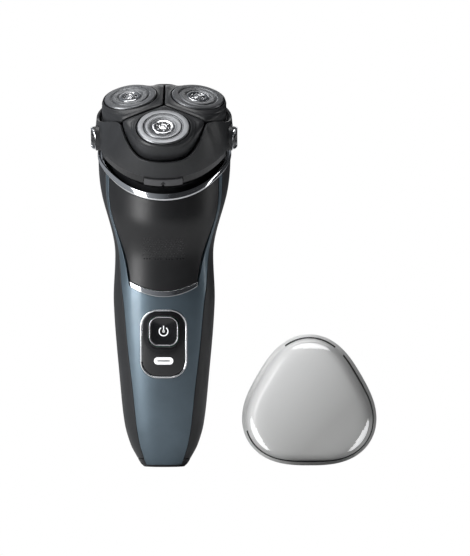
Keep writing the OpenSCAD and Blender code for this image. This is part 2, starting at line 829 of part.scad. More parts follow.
module pod(i) color("#17181b") {
    difference() {
        intersection() {
            union() {
                at_head(i) {
                    translate([0, 0, -8])
                        cylinder(r1 = 13, r2 = 12.1, h = 7.2);
                }
                unit_frame()
                    bar(19.6, -7, 0.5);
            }
            unit_frame()
                rotate([0, 0, pod_angles[i]])
                    translate([0, -pod_gap / 2 / sin(60), -20])
                        linear_extrude(22)
                            polygon([[0, 0], [-60 * sin(60), -30], [-40, -50], [40, -50], [60 * sin(60), -30]]);
        }
        at_head(i) {
            translate([0, 0, -0.8])
                linear_extrude(10)
                    circle(60);
            bar(guard_r + 0.08, -20, 1);
            bar(guard_r + 0.6, -20, -2.9);
            for (s = [-1, 1])
                translate([0, 0, -norm([ball_down, head_pitch_r - spindle_r])])
                    rotate([0, s * 90, 0])
                        translate([0, 0, 10])
                            cylinder(r = 0.66, h = 5);
        }
    }
}
module pod_front() { pod(0); }
module pod_right() { pod(1); }
module pod_left() { pod(2); }
module retainer(i) color("#6d7178") {
    at_head(i)
        difference() {
            bar(guard_r + 0.56, -6.4, -4.1 - float_travel - 0.05);
            bar(9.6, -10, 0);
        }
}
module retainer_front() { retainer(0); }
module retainer_right() { retainer(1); }
module retainer_left() { retainer(2); }
module guard(i) color("#d8dadd") {
    at_head(i)
        difference() {
            union() {
                bar(guard_r, -4, 0);
                bar(guard_r + 0.5, -4.1, -3);
            }
            bar(guard_r - 0.5, -5, -0.5);
            translate([0, 0, -0.16])
                difference() {
                    cylinder(r = 4.6, h = 1);
                    cylinder(r = 3.7, h = 1);
                }
            for (k = [0 : guard_slots - 1])
                rotate([0, 0, k * 360 / guard_slots])
                    translate([5.4, -0.3, -0.8])
                        cube([guard_r - 6.4, 0.6, 2]);
        }
}
module guard_front() { guard(0); }
module guard_right() { guard(1); }
module guard_left() { guard(2); }
module cutter(i) color("#b9bcc1") {
    hub = norm([ball_down, head_pitch_r - spindle_r]);
    at_head(i)
        difference() {
            union() {
                bar(2.6, -hub - 0.3, -1.5);
                bar(10, -2.6, -1.9);
                for (k = [0 : blade_count - 1])
                    rotate([0, 0, k * 360 / blade_count])
                        translate([5.2, -0.35, -2.2])
                            cube([4.5, 0.7, 1.6]);
            }
            bar(1.6, -hub - 1, -hub + 2.3);
        }
}
module cutter_front() { cutter(0); }
module cutter_right() { cutter(1); }
module cutter_left() { cutter(2); }

// Protective cap, standing on its edge beside the shaver ---------------------------------------------
cap_in = (head_pitch_r + guard_r + head_pitch_r / 2 + 13.6) / 2 + 0.2;
cap_lobe = 2.5;
// Depth from the rim, radius taken off and corner strength, from the rim to the top
cap_rows = [[0, -1.9, 0.9], [0.07, -1.8, 0.92], [0.14, -0.2, 1], [0.4, 0.1, 1], [0.72, 0.9, 1],
    [0.88, 2.1, 0.98], [0.97, 4.2, 0.9], [1, 7, 0.8]];
// A point of the cap at angle a from its upper corner; the inner face keeps the wall's depth at the top
function cap_point(a, v, inset) =
    let (
        strength = curve(cap_rows, 2, v),
        r = cap_in + cap_wall - curve(cap_rows, 1, v) - inset + cap_lobe * strength * cos(3 * a)
    )
    [r * sin(a), -v * (cap_depth - inset), r * cos(a)];
cap_z = cap_in + cap_wall + 1.9 - cap_lobe * 0.9;
module protective_cap() color("#b9bdc2", 0.5) {
    nu = 60;
    nv = 11;
    n = nu * nv + 1;
    pts = [for (inset = [0, cap_wall]) each concat(
        [for (j = [0 : nv - 1], i = [0 : nu - 1]) cap_point(i * 360 / nu, j / (nv - 1), inset)],
        [[0, -cap_depth - 0.5 + inset, 0]]
    )];
    at = function (i, j, side) side * n + (j == nv ? nu * nv : j * nu + i % nu);
    translate([cap_x, cap_depth / 2, cap_z])
        polyhedron(pts, [for (i = [0 : nu - 1]) each concat(
            [for (j = [0 : nv - 2]) each [
                [at(i, j, 0), at(i + 1, j, 0), at(i + 1, j + 1, 0)],
                [at(i, j, 0), at(i + 1, j + 1, 0), at(i, j + 1, 0)],
                [at(i, j, 1), at(i + 1, j + 1, 1), at(i + 1, j, 1)],
                [at(i, j, 1), at(i, j + 1, 1), at(i + 1, j + 1, 1)]
            ]],
            [
                [at(i, nv - 1, 0), at(i + 1, nv - 1, 0), at(i, nv, 0)],
                [at(i, nv - 1, 1), at(i, nv, 1), at(i + 1, nv - 1, 1)],
                [at(i, 0, 0), at(i + 1, 0, 1), at(i + 1, 0, 0)],
                [at(i, 0, 0), at(i, 0, 1), at(i + 1, 0, 1)]
            ]
        )]);
}

// Draws the chosen node, or all of them
base_cap();
charging_inlet();
inlet_pins();
rear_grip();
front_shell();
front_panel();
panel_trim();
collar_ring();
neck_frame();
control_panel();
panel_rim();
status_light();
chassis();
circuit_board();
board_parts();
switch_housing();
switch_plunger();
battery_cell();
battery_tabs();
motor_plate();
plate_screws();
motor_can();
motor_end_cap();
motor_rotor();
drive_shaft();
shaft_seal();
power_button();
button_ring();
hair_chamber();
gear_cover();
pivot_pins();
hinge_pin();
sun_gear();
spindle_front();
spindle_right();
spindle_left();
release_button();
head_shell();
side_cap_right();
side_cap_left();
pod_carrier();
pod_front();
pod_right();
pod_left();
retainer_front();
retainer_right();
retainer_left();
guard_front();
guard_right();
guard_left();
cutter_front();
cutter_right();
cutter_left();
protective_cap();
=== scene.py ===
# %% [markdown]
# # Electric shaver
# A rotary shaver stands on its foot with its clear protective cap beside it. The engineering
# model is loaded as the frame. Curved covers that it holds as flat facets are made again here as
# smooth surfaces from the same formulas, and every piece gets a finish built from shader nodes.

import json
import math

import bmesh
import bpy
import numpy as np
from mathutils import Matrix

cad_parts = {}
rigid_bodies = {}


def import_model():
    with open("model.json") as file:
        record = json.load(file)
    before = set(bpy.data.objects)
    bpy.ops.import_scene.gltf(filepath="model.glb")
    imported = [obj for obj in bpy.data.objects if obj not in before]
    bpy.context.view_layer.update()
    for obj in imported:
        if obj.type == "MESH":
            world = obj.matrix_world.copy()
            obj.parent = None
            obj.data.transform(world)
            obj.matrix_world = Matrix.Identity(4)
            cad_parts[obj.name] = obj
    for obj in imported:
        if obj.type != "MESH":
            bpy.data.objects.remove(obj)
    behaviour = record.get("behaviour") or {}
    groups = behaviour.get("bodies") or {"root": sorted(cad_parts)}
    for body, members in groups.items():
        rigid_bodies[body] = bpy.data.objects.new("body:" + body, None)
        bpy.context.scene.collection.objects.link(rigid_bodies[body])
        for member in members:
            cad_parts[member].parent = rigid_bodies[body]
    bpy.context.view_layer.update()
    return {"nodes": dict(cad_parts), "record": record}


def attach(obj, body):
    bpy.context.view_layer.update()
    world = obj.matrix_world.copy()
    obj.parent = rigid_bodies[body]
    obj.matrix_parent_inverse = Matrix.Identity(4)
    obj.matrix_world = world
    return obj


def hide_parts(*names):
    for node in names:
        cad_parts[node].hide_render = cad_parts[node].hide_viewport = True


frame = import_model()
nodes = frame["nodes"]

# %% [markdown]
# ## Camera and light
# A small object is seen from far off through a long lens, so its sides stay parallel. The
# camera is level and looks between the shaver and its cap. A big soft window on the left gives
# the long highlight, a narrow weak one on the right lifts the edge, and two more lamps fill from
# above and from behind. The camera sees a white surround. Reflections and light come from a dim
# one whose strength changes from left to right, so that gloss black stays black on one side.

# %% Camera
FAR = 1.8
VIEW_WIDTH = 0.2335
SENSOR = 36.0
AIM = (0.0297, 0.0, 0.0790)
camera_data = bpy.data.cameras.new("camera")
camera_data.sensor_width = SENSOR
camera_data.sensor_fit = "AUTO"
camera_data.lens = SENSOR * FAR / VIEW_WIDTH
camera_data.clip_end = 20.0
camera = bpy.data.objects.new("camera", camera_data)
camera.location = (AIM[0], AIM[1] - FAR, AIM[2])
camera.rotation_euler = (math.pi / 2, 0.0, 0.0)
bpy.context.collection.objects.link(camera)
bpy.context.scene.camera = camera
print("camera lens", round(camera_data.lens, 1))


# %% Light
def area_light(name, place, aim, width, height, watts):
    """A soft rectangular white lamp that faces a point."""
    lamp = bpy.data.lights.new(name, "AREA")
    lamp.shape = "RECTANGLE"
    lamp.size, lamp.size_y = width, height
    lamp.energy = watts
    holder = bpy.data.objects.new(name, lamp)
    holder.location = place
    away = np.array(place, float) - np.array(aim, float)
    flat = math.hypot(away[0], away[1])
    holder.rotation_euler = (math.atan2(flat, away[2]), 0.0, math.atan2(away[0], -away[1]))
    bpy.context.collection.objects.link(holder)


def split_by_view(tree, shared, seen, sink):
    """Feeds an output: camera rays get the seen shader, and all other rays the shared one."""
    ray = tree.nodes.new("ShaderNodeLightPath")
    either = tree.nodes.new("ShaderNodeMixShader")
    tree.links.new(ray.outputs["Is Camera Ray"], either.inputs[0])
    tree.links.new(shared.outputs[0], either.inputs[1])
    tree.links.new(seen.outputs[0], either.inputs[2])
    tree.links.new(either.outputs[0], tree.nodes[sink].inputs["Surface"])


LAMP_AIM = (0.0, 0.0, 0.08)
area_light("window_left", (-0.72, -0.60, 0.22), LAMP_AIM, 0.42, 0.80, 8.0)
area_light("window_right", (0.85, 0.10, 0.25), LAMP_AIM, 0.08, 0.50, 0.5)
area_light("overhead", (-0.10, -0.10, 0.95), LAMP_AIM, 0.55, 0.35, 2.6)
area_light("behind", (0.0, 0.9, 0.7), (0.0, 0.0, 0.1), 0.9, 0.4, 2.0)
world = bpy.data.worlds.new("studio")
bpy.context.scene.world = world
world.use_nodes = True
world_nodes = world.node_tree.nodes
world_links = world.node_tree.links
sky = world_nodes["Background"]
dark_sky = world_nodes.new("ShaderNodeBackground")
sky.inputs["Color"].default_value = (1.0, 1.0, 1.0, 1.0)
sky.inputs["Strength"].default_value = 1.0
dark_sky.inputs["Color"].default_value = (0.80, 0.84, 0.90, 1.0)
way_seen = world_nodes.new("ShaderNodeSeparateXYZ")
sides = world_nodes.new("ShaderNodeMapRange")
world_links.new(world_nodes.new("ShaderNodeNewGeometry").outputs["Incoming"], way_seen.inputs[0])
for label, number in (("From Min", -0.25), ("From Max", 0.7), ("To Min", 0.035), ("To Max", 0.36)):
    sides.inputs[label].default_value = number
world_links.new(way_seen.outputs["X"], sides.inputs["Value"])
world_links.new(sides.outputs["Result"], dark_sky.inputs["Strength"])
split_by_view(world.node_tree, dark_sky, sky, "World Output")
bpy.context.scene.view_settings.view_transform = "Standard"
print("lights placed")

# %% [markdown]
# ## Mesh helpers
# Each cover is a grid of points worked out with whole arrays. A helper turns a grid into a mesh,
# and Solidify and Bevel give it a wall and a small round at its edges, as a moulded cover has.


# %% Grid to mesh
def grid_quads(rows, cols, wrap=True):
    """Corner numbers of every face of a grid, and each face's row and column."""
    j, i = np.meshgrid(np.arange(rows - 1), np.arange(cols if wrap else cols - 1), indexing="ij")
    k = (i + 1) % cols
    return np.stack([j * cols + i, j * cols + k, (j + 1) * cols + k, (j + 1) * cols + i], -1), j, i


def grid_mesh(name, points, wrap=False):
    """Makes an object from points[row, column]. With wrap, the last column joins the first.

    Faces wind so that normals point outwards when columns run anticlockwise seen from outside
    the surface and rows run upwards.
    """
    quads, _, _ = grid_quads(*points.shape[:2], wrap)
    return mesh_object(name, points.reshape(-1, 3), quads.reshape(-1, 4))


def mesh_object(name, verts, quads):
    """Makes a smooth-shaded object from points and four-cornered faces, given as arrays."""
    mesh = bpy.data.meshes.new(name)
    mesh.vertices.add(len(verts))
    mesh.vertices.foreach_set("co", np.asarray(verts, float).ravel())
    mesh.loops.add(quads.size)
    mesh.loops.foreach_set("vertex_index", quads.astype(int).ravel())
    mesh.polygons.add(len(quads))
    mesh.polygons.foreach_set("loop_start", np.arange(0, quads.size, 4))
    mesh.polygons.foreach_set("loop_total", np.full(len(quads), 4))
    mesh.polygons.foreach_set("use_smooth", np.ones(len(quads), bool))
    mesh.update(calc_edges=True)
    mesh.validate()
    made = bpy.data.objects.new(name, mesh)
    bpy.context.collection.objects.link(made)
    return made


def thicken(made, thick, offset=-1.0):
    """Adds a Solidify modifier: inwards with offset -1, outwards with 1."""
    solid = made.modifiers.new("wall", "SOLIDIFY")
    solid.thickness = thick * MM
    solid.offset = offset
    return solid


def wall(made, thick, edge, segments=2):
    """Gives a skin a wall of this thickness inwards, and rounds its edges, both in millimetres."""
    thicken(made, thick).use_even_offset = True
    if edge:
        bevel = made.modifiers.new("edge", "BEVEL")
        bevel.width = edge * MM
        bevel.segments = segments
        bevel.limit_method = "ANGLE"
        bevel.angle_limit = math.radians(50)
        bevel.harden_normals = True
    print(made.name, len(made.data.vertices), "points")
    return made


MM = 0.001

# %% [markdown]
# ## The handle's surface
# The handle is a stack of squarish ovals along a spine that leans forward near the top, blending
# into the three-cornered collar. The numbers are the handle's own stations: height, half width,
# depth to the front, depth to the back and the spine's place.

# %% Handle stations
HANDLE = 129.8
LEAN = 33.0
COLLAR_R, COLLAR_LOBE = 27.3, 1.9
WAIST = HANDLE - 40
BELLY = 69.0
FRONT, BACK = 17.6, 18.2
OVAL = 2.3
BEND_LENGTH = 68.4
STATIONS = np.array([
    [0, 8.5, 9, 9, 0],
    [1.2, 9.8, 10.1, 10.1, 0],
    [4, 11.4, FRONT - 6.4, BACK - 6.8, 0],
    [9.2, 14.1, FRONT - 4.6, BACK - 4.8, 0],
    [18, 16.6, FRONT - 2.7, BACK - 2.8, 0],
    [36, 18.6, FRONT - 0.9, BACK - 0.8, 0],
    [BELLY, 21.2, FRONT, BACK, 0],
    [WAIST, 20.6, FRONT + 0.4, BACK + 0.5, 0.4],
    [HANDLE - 25, 21.9, FRONT + 2.7, BACK + 2.4, 0.9],
    [HANDLE - 12, COLLAR_R - 2.3, COLLAR_R + COLLAR_LOBE - 3.9, COLLAR_R - COLLAR_LOBE - 2.3,
     1.3],
    [HANDLE, COLLAR_R, COLLAR_R + COLLAR_LOBE, COLLAR_R - COLLAR_LOBE, 1.5],
])
EDGES = np.array([
    [0, 45, 40], [28, 45, 40], [50, 50.5, 42], [BELLY, 54.5, 44], [BELLY + 9, 59, 46.5],
    [HANDLE - 27, 68, 61], [HANDLE, 71.5, 65],
])


def ease(t):
    """3t squared minus 2t cubed, between 0 and 1."""
    t = np.clip(t, 0, 1)
    return t * t * (3 - 2 * t)


def curve(table, column, z):
    """A smooth (cubic Hermite) curve through the table's rows, with slopes from its neighbours."""
    z = np.asarray(z, float)
    x, y = table[:, 0], table[:, column]
    slope = np.empty(len(x))
    slope[1:-1] = (y[2:] - y[:-2]) / (x[2:] - x[:-2])
    slope[0] = (y[1] - y[0]) / (x[1] - x[0])
    slope[-1] = (y[-1] - y[-2]) / (x[-1] - x[-2])
    i = np.clip(np.searchsorted(x, z, side="right") - 1, 0, len(x) - 2)
    h = x[i + 1] - x[i]
    t = np.clip((z - x[i]) / h, 0, 1)
    return ((2 * t**3 - 3 * t**2 + 1) * y[i] + (t**3 - 2 * t**2 + t) * h * slope[i]
            + (3 * t**2 - 2 * t**3) * y[i + 1] + (t**3 - t**2) * h * slope[i + 1])


def handle_radius(a, z):
    """Distance from the spine: a squarish oval that turns three-lobed towards the collar."""
    s, c = np.sin(np.radians(a)), np.cos(np.radians(a))
    depth = np.where(c > 0, curve(STATIONS, 2, z), curve(STATIONS, 3, z))
    across, along = np.abs(s) / curve(STATIONS, 1, z), np.abs(c) / depth
    oval = (across**OVAL + along**OVAL) ** (-1 / OVAL)
    share = ease((z - WAIST) / (HANDLE - WAIST))
    return oval + (COLLAR_R + COLLAR_LOBE * np.cos(np.radians(3 * a)) - oval) * share


def handle_point(a, z, proud=0.0):
    """Points at angle a from the front and spine height z, stood out by proud millimetres."""
    a, z = np.broadcast_arrays(np.asarray(a, float), np.asarray(z, float))
    r = handle_radius(a, z) + proud
    tilt = np.radians(LEAN * ease((z - (HANDLE - BEND_LENGTH)) / BEND_LENGTH))
    s, c = np.sin(np.radians(a)), np.cos(np.radians(a))
    x = r * s
    y = curve(STATIONS, 4, z) - r * c * np.cos(tilt)
    return np.stack([x, y, z - r * c * np.sin(tilt)], -1) * MM


def shell_edge(z):
    """Half angle of the blue front shell."""
    return curve(EDGES, 1, z)


def panel_edge(z):
    """Half angle of the gloss front panel."""
    return curve(EDGES, 2, z)


def arc_height(a):
    """Spine height of the front panel's lower edge, which rises towards its ends."""
    return BELLY + 5.5 + 5.2 * (a / panel_edge(BELLY + 12)) ** 2


def band_height(a):
    """Spine height of the bright collar's lower edge."""
    return HANDLE - (1.3 + 1.5 * (1 + np.cos(np.radians(a))) / 2)


def strip_height(a):
    """How far the bright strip reaches below the front panel's edge."""
    return 2.8 - 0.6 * (a / panel_edge(BELLY + 12)) ** 2


print("front at mid height", handle_point(0, 50.0) / MM)

# %% [markdown]
# ## Handle covers
# Each cover could be cut out of one big body with booleans, which leaves ragged shading. Instead
# each is its own patch of the same surface, from one edge angle to the other, so neighbours
# share the surface and only the seams between them show.


# %% Patches of the handle
def patch(edge, low, high, columns, rows, proud=0.0):
    """A grid from -edge(z) to edge(z) across, and from low(a) to high(a) up the spine."""
    u = np.linspace(-1, 1, columns)[None, :]
    v = np.linspace(0, 1, rows)[:, None]
    middle = low(0.0) + (high(0.0) - low(0.0)) * v
    a = u * edge(middle)
    z = low(a) + (high(a) - low(a)) * v
    return handle_point(a, z, proud)


SEAM = 0.15
TOP = HANDLE - 1.1
GRIP_FOOT = 3.4
TO_DEGREES = 57.3
PANEL_SEAM = 0.25
u = np.linspace(0, 1, 120)[None, :]
v = np.linspace(0, 1, 130)[:, None]
guide = GRIP_FOOT + (TOP - GRIP_FOOT) * v
start = shell_edge(guide) + SEAM / handle_radius(60, guide) * TO_DEGREES
a = start + u * (360 - 2 * start)
z = GRIP_FOOT + (band_height(a) - SEAM - GRIP_FOOT) * v
grip = wall(grid_mesh("grip_cover", handle_point(a, z)), 1.8, 0.35)
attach(grip, "handle"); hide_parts("rear_grip")

panel = grid_mesh("front_panel_cover", patch(
    lambda z: panel_edge(z) - PANEL_SEAM,
    lambda a: arc_height(a) + 0.1,
    lambda a: band_height(a) - SEAM, 90, 70))
wall(panel, 1.8, 0.3)
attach(panel, "handle"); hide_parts("front_panel")

strip = grid_mesh("panel_strip", patch(
    lambda z: panel_edge(z) - PANEL_SEAM,
    lambda a: arc_height(a) - strip_height(a),
    lambda a: arc_height(a) - 0.05, 70, 9, 0.3))
wall(strip, 2.0, 0.35, 3)
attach(strip, "handle"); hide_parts("panel_trim")

# %% Collar
turn = np.arange(180) * 2.0
rise = np.linspace(0, 1, 8)[:, None]
low = band_height(turn)
ring = grid_mesh("collar_band", handle_point(turn, low + (HANDLE - low) * rise,
                 0.35 - 0.25 * (2 * rise - 1) ** 4), wrap=True)
wall(ring, 2.0, 0.3, 3)
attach(ring, "handle"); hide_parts("collar_ring")

# %% [markdown]
# The blue shell has a rounded window for the control panel and two slim arms beside the front
# panel. Its lower part is a ring of lines from the window's edge out to the shell's edge, and
# each arm starts from the same points where the ring ends, so all of it welds into one skin. At
# its foot it stands a little proud, because it is drawn over the foot cap there.

# %% Front shell
PANEL_W, PANEL_H, PANEL_Z, PANEL_CORNER, RIM = 17.9, 27.2, 51.6, 6.4, 0.8


def rounded_reach(direction, w, h, r):
    """Distance from the middle of a rounded rectangle to its outline, in each direction."""
    c, s = np.abs(np.cos(direction)), np.abs(np.sin(direction))
    flat = np.minimum(w / 2 / np.maximum(c, 1e-9), h / 2 / np.maximum(s, 1e-9))
    px, py = w / 2 - r, h / 2 - r
    along = c * px + s * py
    corner = along + np.sqrt(np.maximum(along**2 - (px**2 + py**2 - r**2), 0))
    inside = (flat * c > px) & (flat * s > py)
    return np.where(inside, corner, flat)


def angle_for_x(x, z):
    """The angle at which the surface stands x to the side, read from a table at each height."""
    fan = np.linspace(-60, 60, 241)
    out = np.empty(np.shape(x))
    for k, (xk, zk) in enumerate(zip(np.ravel(x), np.ravel(z))):
        aside = handle_radius(fan, np.full(len(fan), zk)) * np.sin(np.radians(fan))
        out.flat[k] = np.interp(xk, aside, fan)
    return out


ARM_FOOT = BELLY + 8.0
ARM_COLUMNS = 9


def arm_angles(z, side):
    """Angles across an arm, from the front panel's edge to the shell's edge."""
    t = np.linspace(0, 1, ARM_COLUMNS)
    z = np.asarray(z, float)[..., None]
    inner = panel_edge(z) + 0.2
    return side * (inner + (shell_edge(z) - inner) * t)


SHELL_FOOT = 0.9
FOOT_COLUMNS = 40
ARM_ROWS = 60
side_z = np.linspace(SHELL_FOOT, ARM_FOOT, 90)
right_a = shell_edge(side_z)
over_a = arm_angles(ARM_FOOT, 1)[::-1]
arc_a = np.linspace(over_a[-1], -over_a[-1], 60)[1:-1]
arc_z = arc_height(arc_a) - strip_height(arc_a) - SEAM
back_a = arm_angles(ARM_FOOT, -1)
foot_a = np.linspace(-shell_edge(SHELL_FOOT), shell_edge(SHELL_FOOT), FOOT_COLUMNS)[1:-1]
rim_a = np.concatenate([right_a, over_a[1:], arc_a, back_a[:-1], -right_a[::-1], foot_a])
rim_z = np.concatenate([side_z, np.full(ARM_COLUMNS - 1, ARM_FOOT), arc_z,
                        np.full(ARM_COLUMNS - 1, ARM_FOOT), side_z[::-1],
                        np.full(FOOT_COLUMNS - 2, SHELL_FOOT)])
rim_x = handle_radius(rim_a, rim_z) * np.sin(np.radians(rim_a))
way = np.arctan2(rim_z - PANEL_Z, rim_x)
reach = rounded_reach(way, PANEL_W + 2 * RIM + 0.1, PANEL_H + 2 * RIM + 0.1,
                      PANEL_CORNER + RIM)
hole_x, hole_z = reach * np.cos(way), PANEL_Z + reach * np.sin(way)
hole_a = angle_for_x(hole_x, hole_z)
blend = np.linspace(0, 1, 26)[:, None] ** 1.15
ring_z = hole_z + (rim_z - hole_z) * blend
foot_proud = 0.12 * ease((6.0 - ring_z) / 3)
ring_points = handle_point(hole_a + (rim_a - hole_a) * blend, ring_z, foot_proud)
quads = [grid_quads(*ring_points.shape[:2])[0].reshape(-1, 4)[:, [0, 3, 2, 1]]]
verts = [ring_points.reshape(-1, 3)]
offset = len(verts[0])
rise = np.linspace(0, 1, ARM_ROWS)[:, None]
for side in (1, -1):
    guide = ARM_FOOT + (TOP - ARM_FOOT) * rise[:, 0]
    across = arm_angles(guide, side)
    height = ARM_FOOT + (band_height(across) - SEAM - ARM_FOOT) * rise
    verts.append(handle_point(across, height).reshape(-1, 3))
    q = grid_quads(ARM_ROWS, ARM_COLUMNS, wrap=False)[0].reshape(-1, 4)
    quads.append((q if side > 0 else q[:, ::-1]) + offset)
    offset += ARM_ROWS * ARM_COLUMNS
front = mesh_object("front_shell_cover", np.concatenate(verts), np.concatenate(quads))


def weld(made, gap=0.02):
    """Merges points closer than gap millimetres and makes the faces point the same way."""
    work = bmesh.new()
    work.from_mesh(made.data)
    before = len(work.verts)
    bmesh.ops.remove_doubles(work, verts=work.verts, dist=gap * MM)
    bmesh.ops.recalc_face_normals(work, faces=work.faces)
    work.to_mesh(made.data)
    print(made.name, "welded", before - len(work.verts), "points")
    work.free()
    return made


def facing_out(made, direction=(0, -1, 0)):
    """Flips a skin whose faces, on the whole, point against the direction given."""
    normals = np.empty(len(made.data.polygons) * 3)
    made.data.polygons.foreach_get("normal", normals)
    areas = np.empty(len(made.data.polygons))
    made.data.polygons.foreach_get("area", areas)
    total = (normals.reshape(-1, 3) * areas[:, None]).sum(0)
    if total @ np.array(direction, float) < 0:
        made.data.flip_normals()
    return made


facing_out(weld(front))
wall(front, 1.8, 0.35, 3)
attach(front, "handle"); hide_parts("front_shell")
facing_out(panel); facing_out(strip)

# %% Control panel and its rim
PANEL_STEPS = 160


def panel_skin(name, inner, outer, from_z, proud):
    """A ring of lines between two rounded rectangles (width, height, corner) on the handle's front.

    The inner one's middle is at height from_z and the outer one's at PANEL_Z.
    """
    way = np.arange(PANEL_STEPS) * 2 * math.pi / PANEL_STEPS
    low, high = rounded_reach(way, *inner), rounded_reach(way, *outer)
    t = np.linspace(0, 1, 14)[:, None]
    reach = low + (high - low) * t
    x, z = reach * np.cos(way), from_z + (PANEL_Z - from_z) * t + reach * np.sin(way)
    return facing_out(grid_mesh(name, handle_point(angle_for_x(x, z), z, proud(t)), wrap=True))


BUTTON, BUTTON_Z, LIGHT_Z = 11.6, PANEL_Z + 5.2, PANEL_Z - 7.1
rim_skin = panel_skin("panel_rim_band", (PANEL_W + 0.06, PANEL_H + 0.06, PANEL_CORNER + 0.03),
                      (PANEL_W + 2 * RIM, PANEL_H + 2 * RIM, PANEL_CORNER + RIM), PANEL_Z,
                      lambda t: 0.4 - 0.35 * np.abs(2 * t - 1) ** 3)
wall(rim_skin, 1.5, 0)
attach(rim_skin, "handle"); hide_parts("panel_rim")
face_skin = panel_skin("control_panel_skin", (BUTTON + 1.5, BUTTON + 1.5, 4.2),
                       (PANEL_W, PANEL_H, PANEL_CORNER), BUTTON_Z, lambda t: -0.02)
wall(face_skin, 0.5, 0)
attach(face_skin, "handle"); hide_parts("control_panel")
print("handle covers made")

# %% [markdown]
# ## The shaving unit's frame
# Everything on top leans with the unit, so its pieces are drawn upright about the unit's own axis
# and then carried by one turn and one move. A head has a further small turn outwards.

# %% Unit and head places
DROP = 25.0
TILT = math.radians(LEAN)
UNIT_AT = np.array([0.0, 1.5 - DROP * math.sin(TILT), HANDLE + DROP * math.cos(TILT)])
UNIT_TURN = np.array([[1, 0, 0], [0, math.cos(TILT), -math.sin(TILT)],
                      [0, math.sin(TILT), math.cos(TILT)]])
UNIT_UP = UNIT_TURN @ np.array([0, 0, 1.0])
HEAD_R, CANT, GUARD_R = 16.4, math.radians(8.8), 11.0
UNIT_R, UNIT_LOBE = 28.7, 1.5
UNIT_FOOT = 17
PIN_DROP = 15.3
HEADS = {"front": 0.0, "right": 120.0, "left": -120.0}


def in_unit(points):
    """Carries points in millimetres from the unit's own frame into the world, in metres."""
    return (points @ UNIT_TURN.T + UNIT_AT) * MM


def head_to_unit(points, name):
    """Turns points from a head's own frame into the unit's frame."""
    c, s = math.cos(CANT), math.sin(CANT)
    cant = np.array([[1, 0, 0], [0, c, -s], [0, s, c]])
    turn = math.radians(HEADS[name])
    spin = np.array([[math.cos(turn), -math.sin(turn), 0], [math.sin(turn), math.cos(turn), 0],
                     [0, 0, 1]])
    return (points @ cant.T + np.array([0, -HEAD_R, 0])) @ spin.T


def revolve(profile, columns):
    """Turns a profile of (radius, height) rows round the upright axis, as grid points."""
    profile = np.asarray(profile, float)
    turn = np.arange(columns) * 2 * math.pi / columns
    r, z = profile[:, :1], profile[:, 1:2]
    return np.stack([r * np.sin(turn), -r * np.cos(turn), z + 0 * turn], -1)


CORNER_SPAN = 0.24


def smooth_profile(rows):
    """Resamples a profile so that its corners stay crisp but are slightly rounded."""
    rows = np.asarray(rows, float)
    out = [rows[0]]
    for a, b, c in zip(rows[:-2], rows[1:-1], rows[2:]):
        reach = 0.5 * min(np.linalg.norm(b - a), np.linalg.norm(c - b), CORNER_SPAN)
        p = b + (a - b) / np.linalg.norm(a - b) * reach
        q = b + (c - b) / np.linalg.norm(c - b) * reach
        t = np.linspace(0, 1, 4)[:, None]
        out.extend((1 - t) ** 2 * p + 2 * t * (1 - t) * b + t**2 * q)
    out.append(rows[-1])
    return np.array(out)


# %% [markdown]
# The head shell is a skirt with three points that reach up between the pods. Its upper edge dips
# round each pod, so it is one grid from the lower edge to that rim: radius and height blend from
# one to the other, with a power that makes the skirt belly outwards.

# %% Head shell
RIM_ROWS = np.array([[-10, 29.8], [0, 30.1], [10, 29.8], [20, 28.7], [30, 26.7], [40, 24.6],
                     [50, 22.8], [60, 21.5], [70, 22.8]])


def from_pod(a):
    """Angle from the middle of the nearest pod, 0 to 60."""
    m = np.mod(a, 120.0)
    return np.minimum(m, 120.0 - m)


def rim_height(a):
    """Height of the shell's upper edge: high at the three points, low in front of each pod."""
    return -1.9 - 7.6 * ease((60 - from_pod(a)) / 45)


def rim_radius(a):
    """Radius of the shell's upper edge."""
    return curve(RIM_ROWS, 1, from_pod(a))


def shell_skin(a, v):
    """Point of the shell: v runs from its lower edge to its rim, r = low + (rim - low) * v^1.7."""
    low = UNIT_R + UNIT_LOBE * np.cos(np.radians(3 * a))
    r = low + (rim_radius(a) - low) * v**1.7
    z = -UNIT_FOOT + (rim_height(a) + UNIT_FOOT) * v
    return np.stack([r * np.sin(np.radians(a)), -r * np.cos(np.radians(a)), z], -1)


turn = np.arange(288) * 1.25
skirt = in_unit(shell_skin(*np.broadcast_arrays(turn[None, :], np.linspace(0, 1, 40)[:, None])))
shell = grid_mesh("head_shell_skin", skirt, wrap=True)


def outwards(made, centre):
    """Flips a closed or ring-shaped skin whose faces point towards its middle."""
    n = len(made.data.polygons)
    normals, centres = np.empty(n * 3), np.empty(n * 3)
    made.data.polygons.foreach_get("normal", normals)
    made.data.polygons.foreach_get("center", centres)
    lean = ((centres.reshape(-1, 3) - np.asarray(centre)) * normals.reshape(-1, 3)).sum(1)
    if (lean > 0).sum() < n / 2:
        made.data.flip_normals()
    return made


UNIT_MIDDLE = in_unit(np.array([0.0, 0.0, -15.0]))
outwards(shell, UNIT_MIDDLE)
wall(shell, 1.1, 0.3, 3)
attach(shell, "head")


def trimmed_copy(name, node, keep):
    """Copies a CAD node's mesh, merged, keeping only the faces whose middles pass keep(points)."""
    mesh = nodes[node].data.copy()
    work = bmesh.new()
    work.from_mesh(mesh)
    bmesh.ops.remove_doubles(work, verts=work.verts, dist=0.001 * MM)
    middles = np.array([f.calc_center_median() for f in work.faces])
    drop = [f for f, k in zip(work.faces, keep(middles)) if not k]
    bmesh.ops.delete(work, geom=drop, context="FACES")
    work.to_mesh(mesh)
    work.free()
    made = bpy.data.objects.new(name, mesh)
    bpy.context.collection.objects.link(made)
    print(name, len(mesh.polygons), "faces kept")
    return made


def unit_local(points):
    """World points in metres, back in the unit's frame in millimetres."""
    return (points / MM - UNIT_AT) @ UNIT_TURN


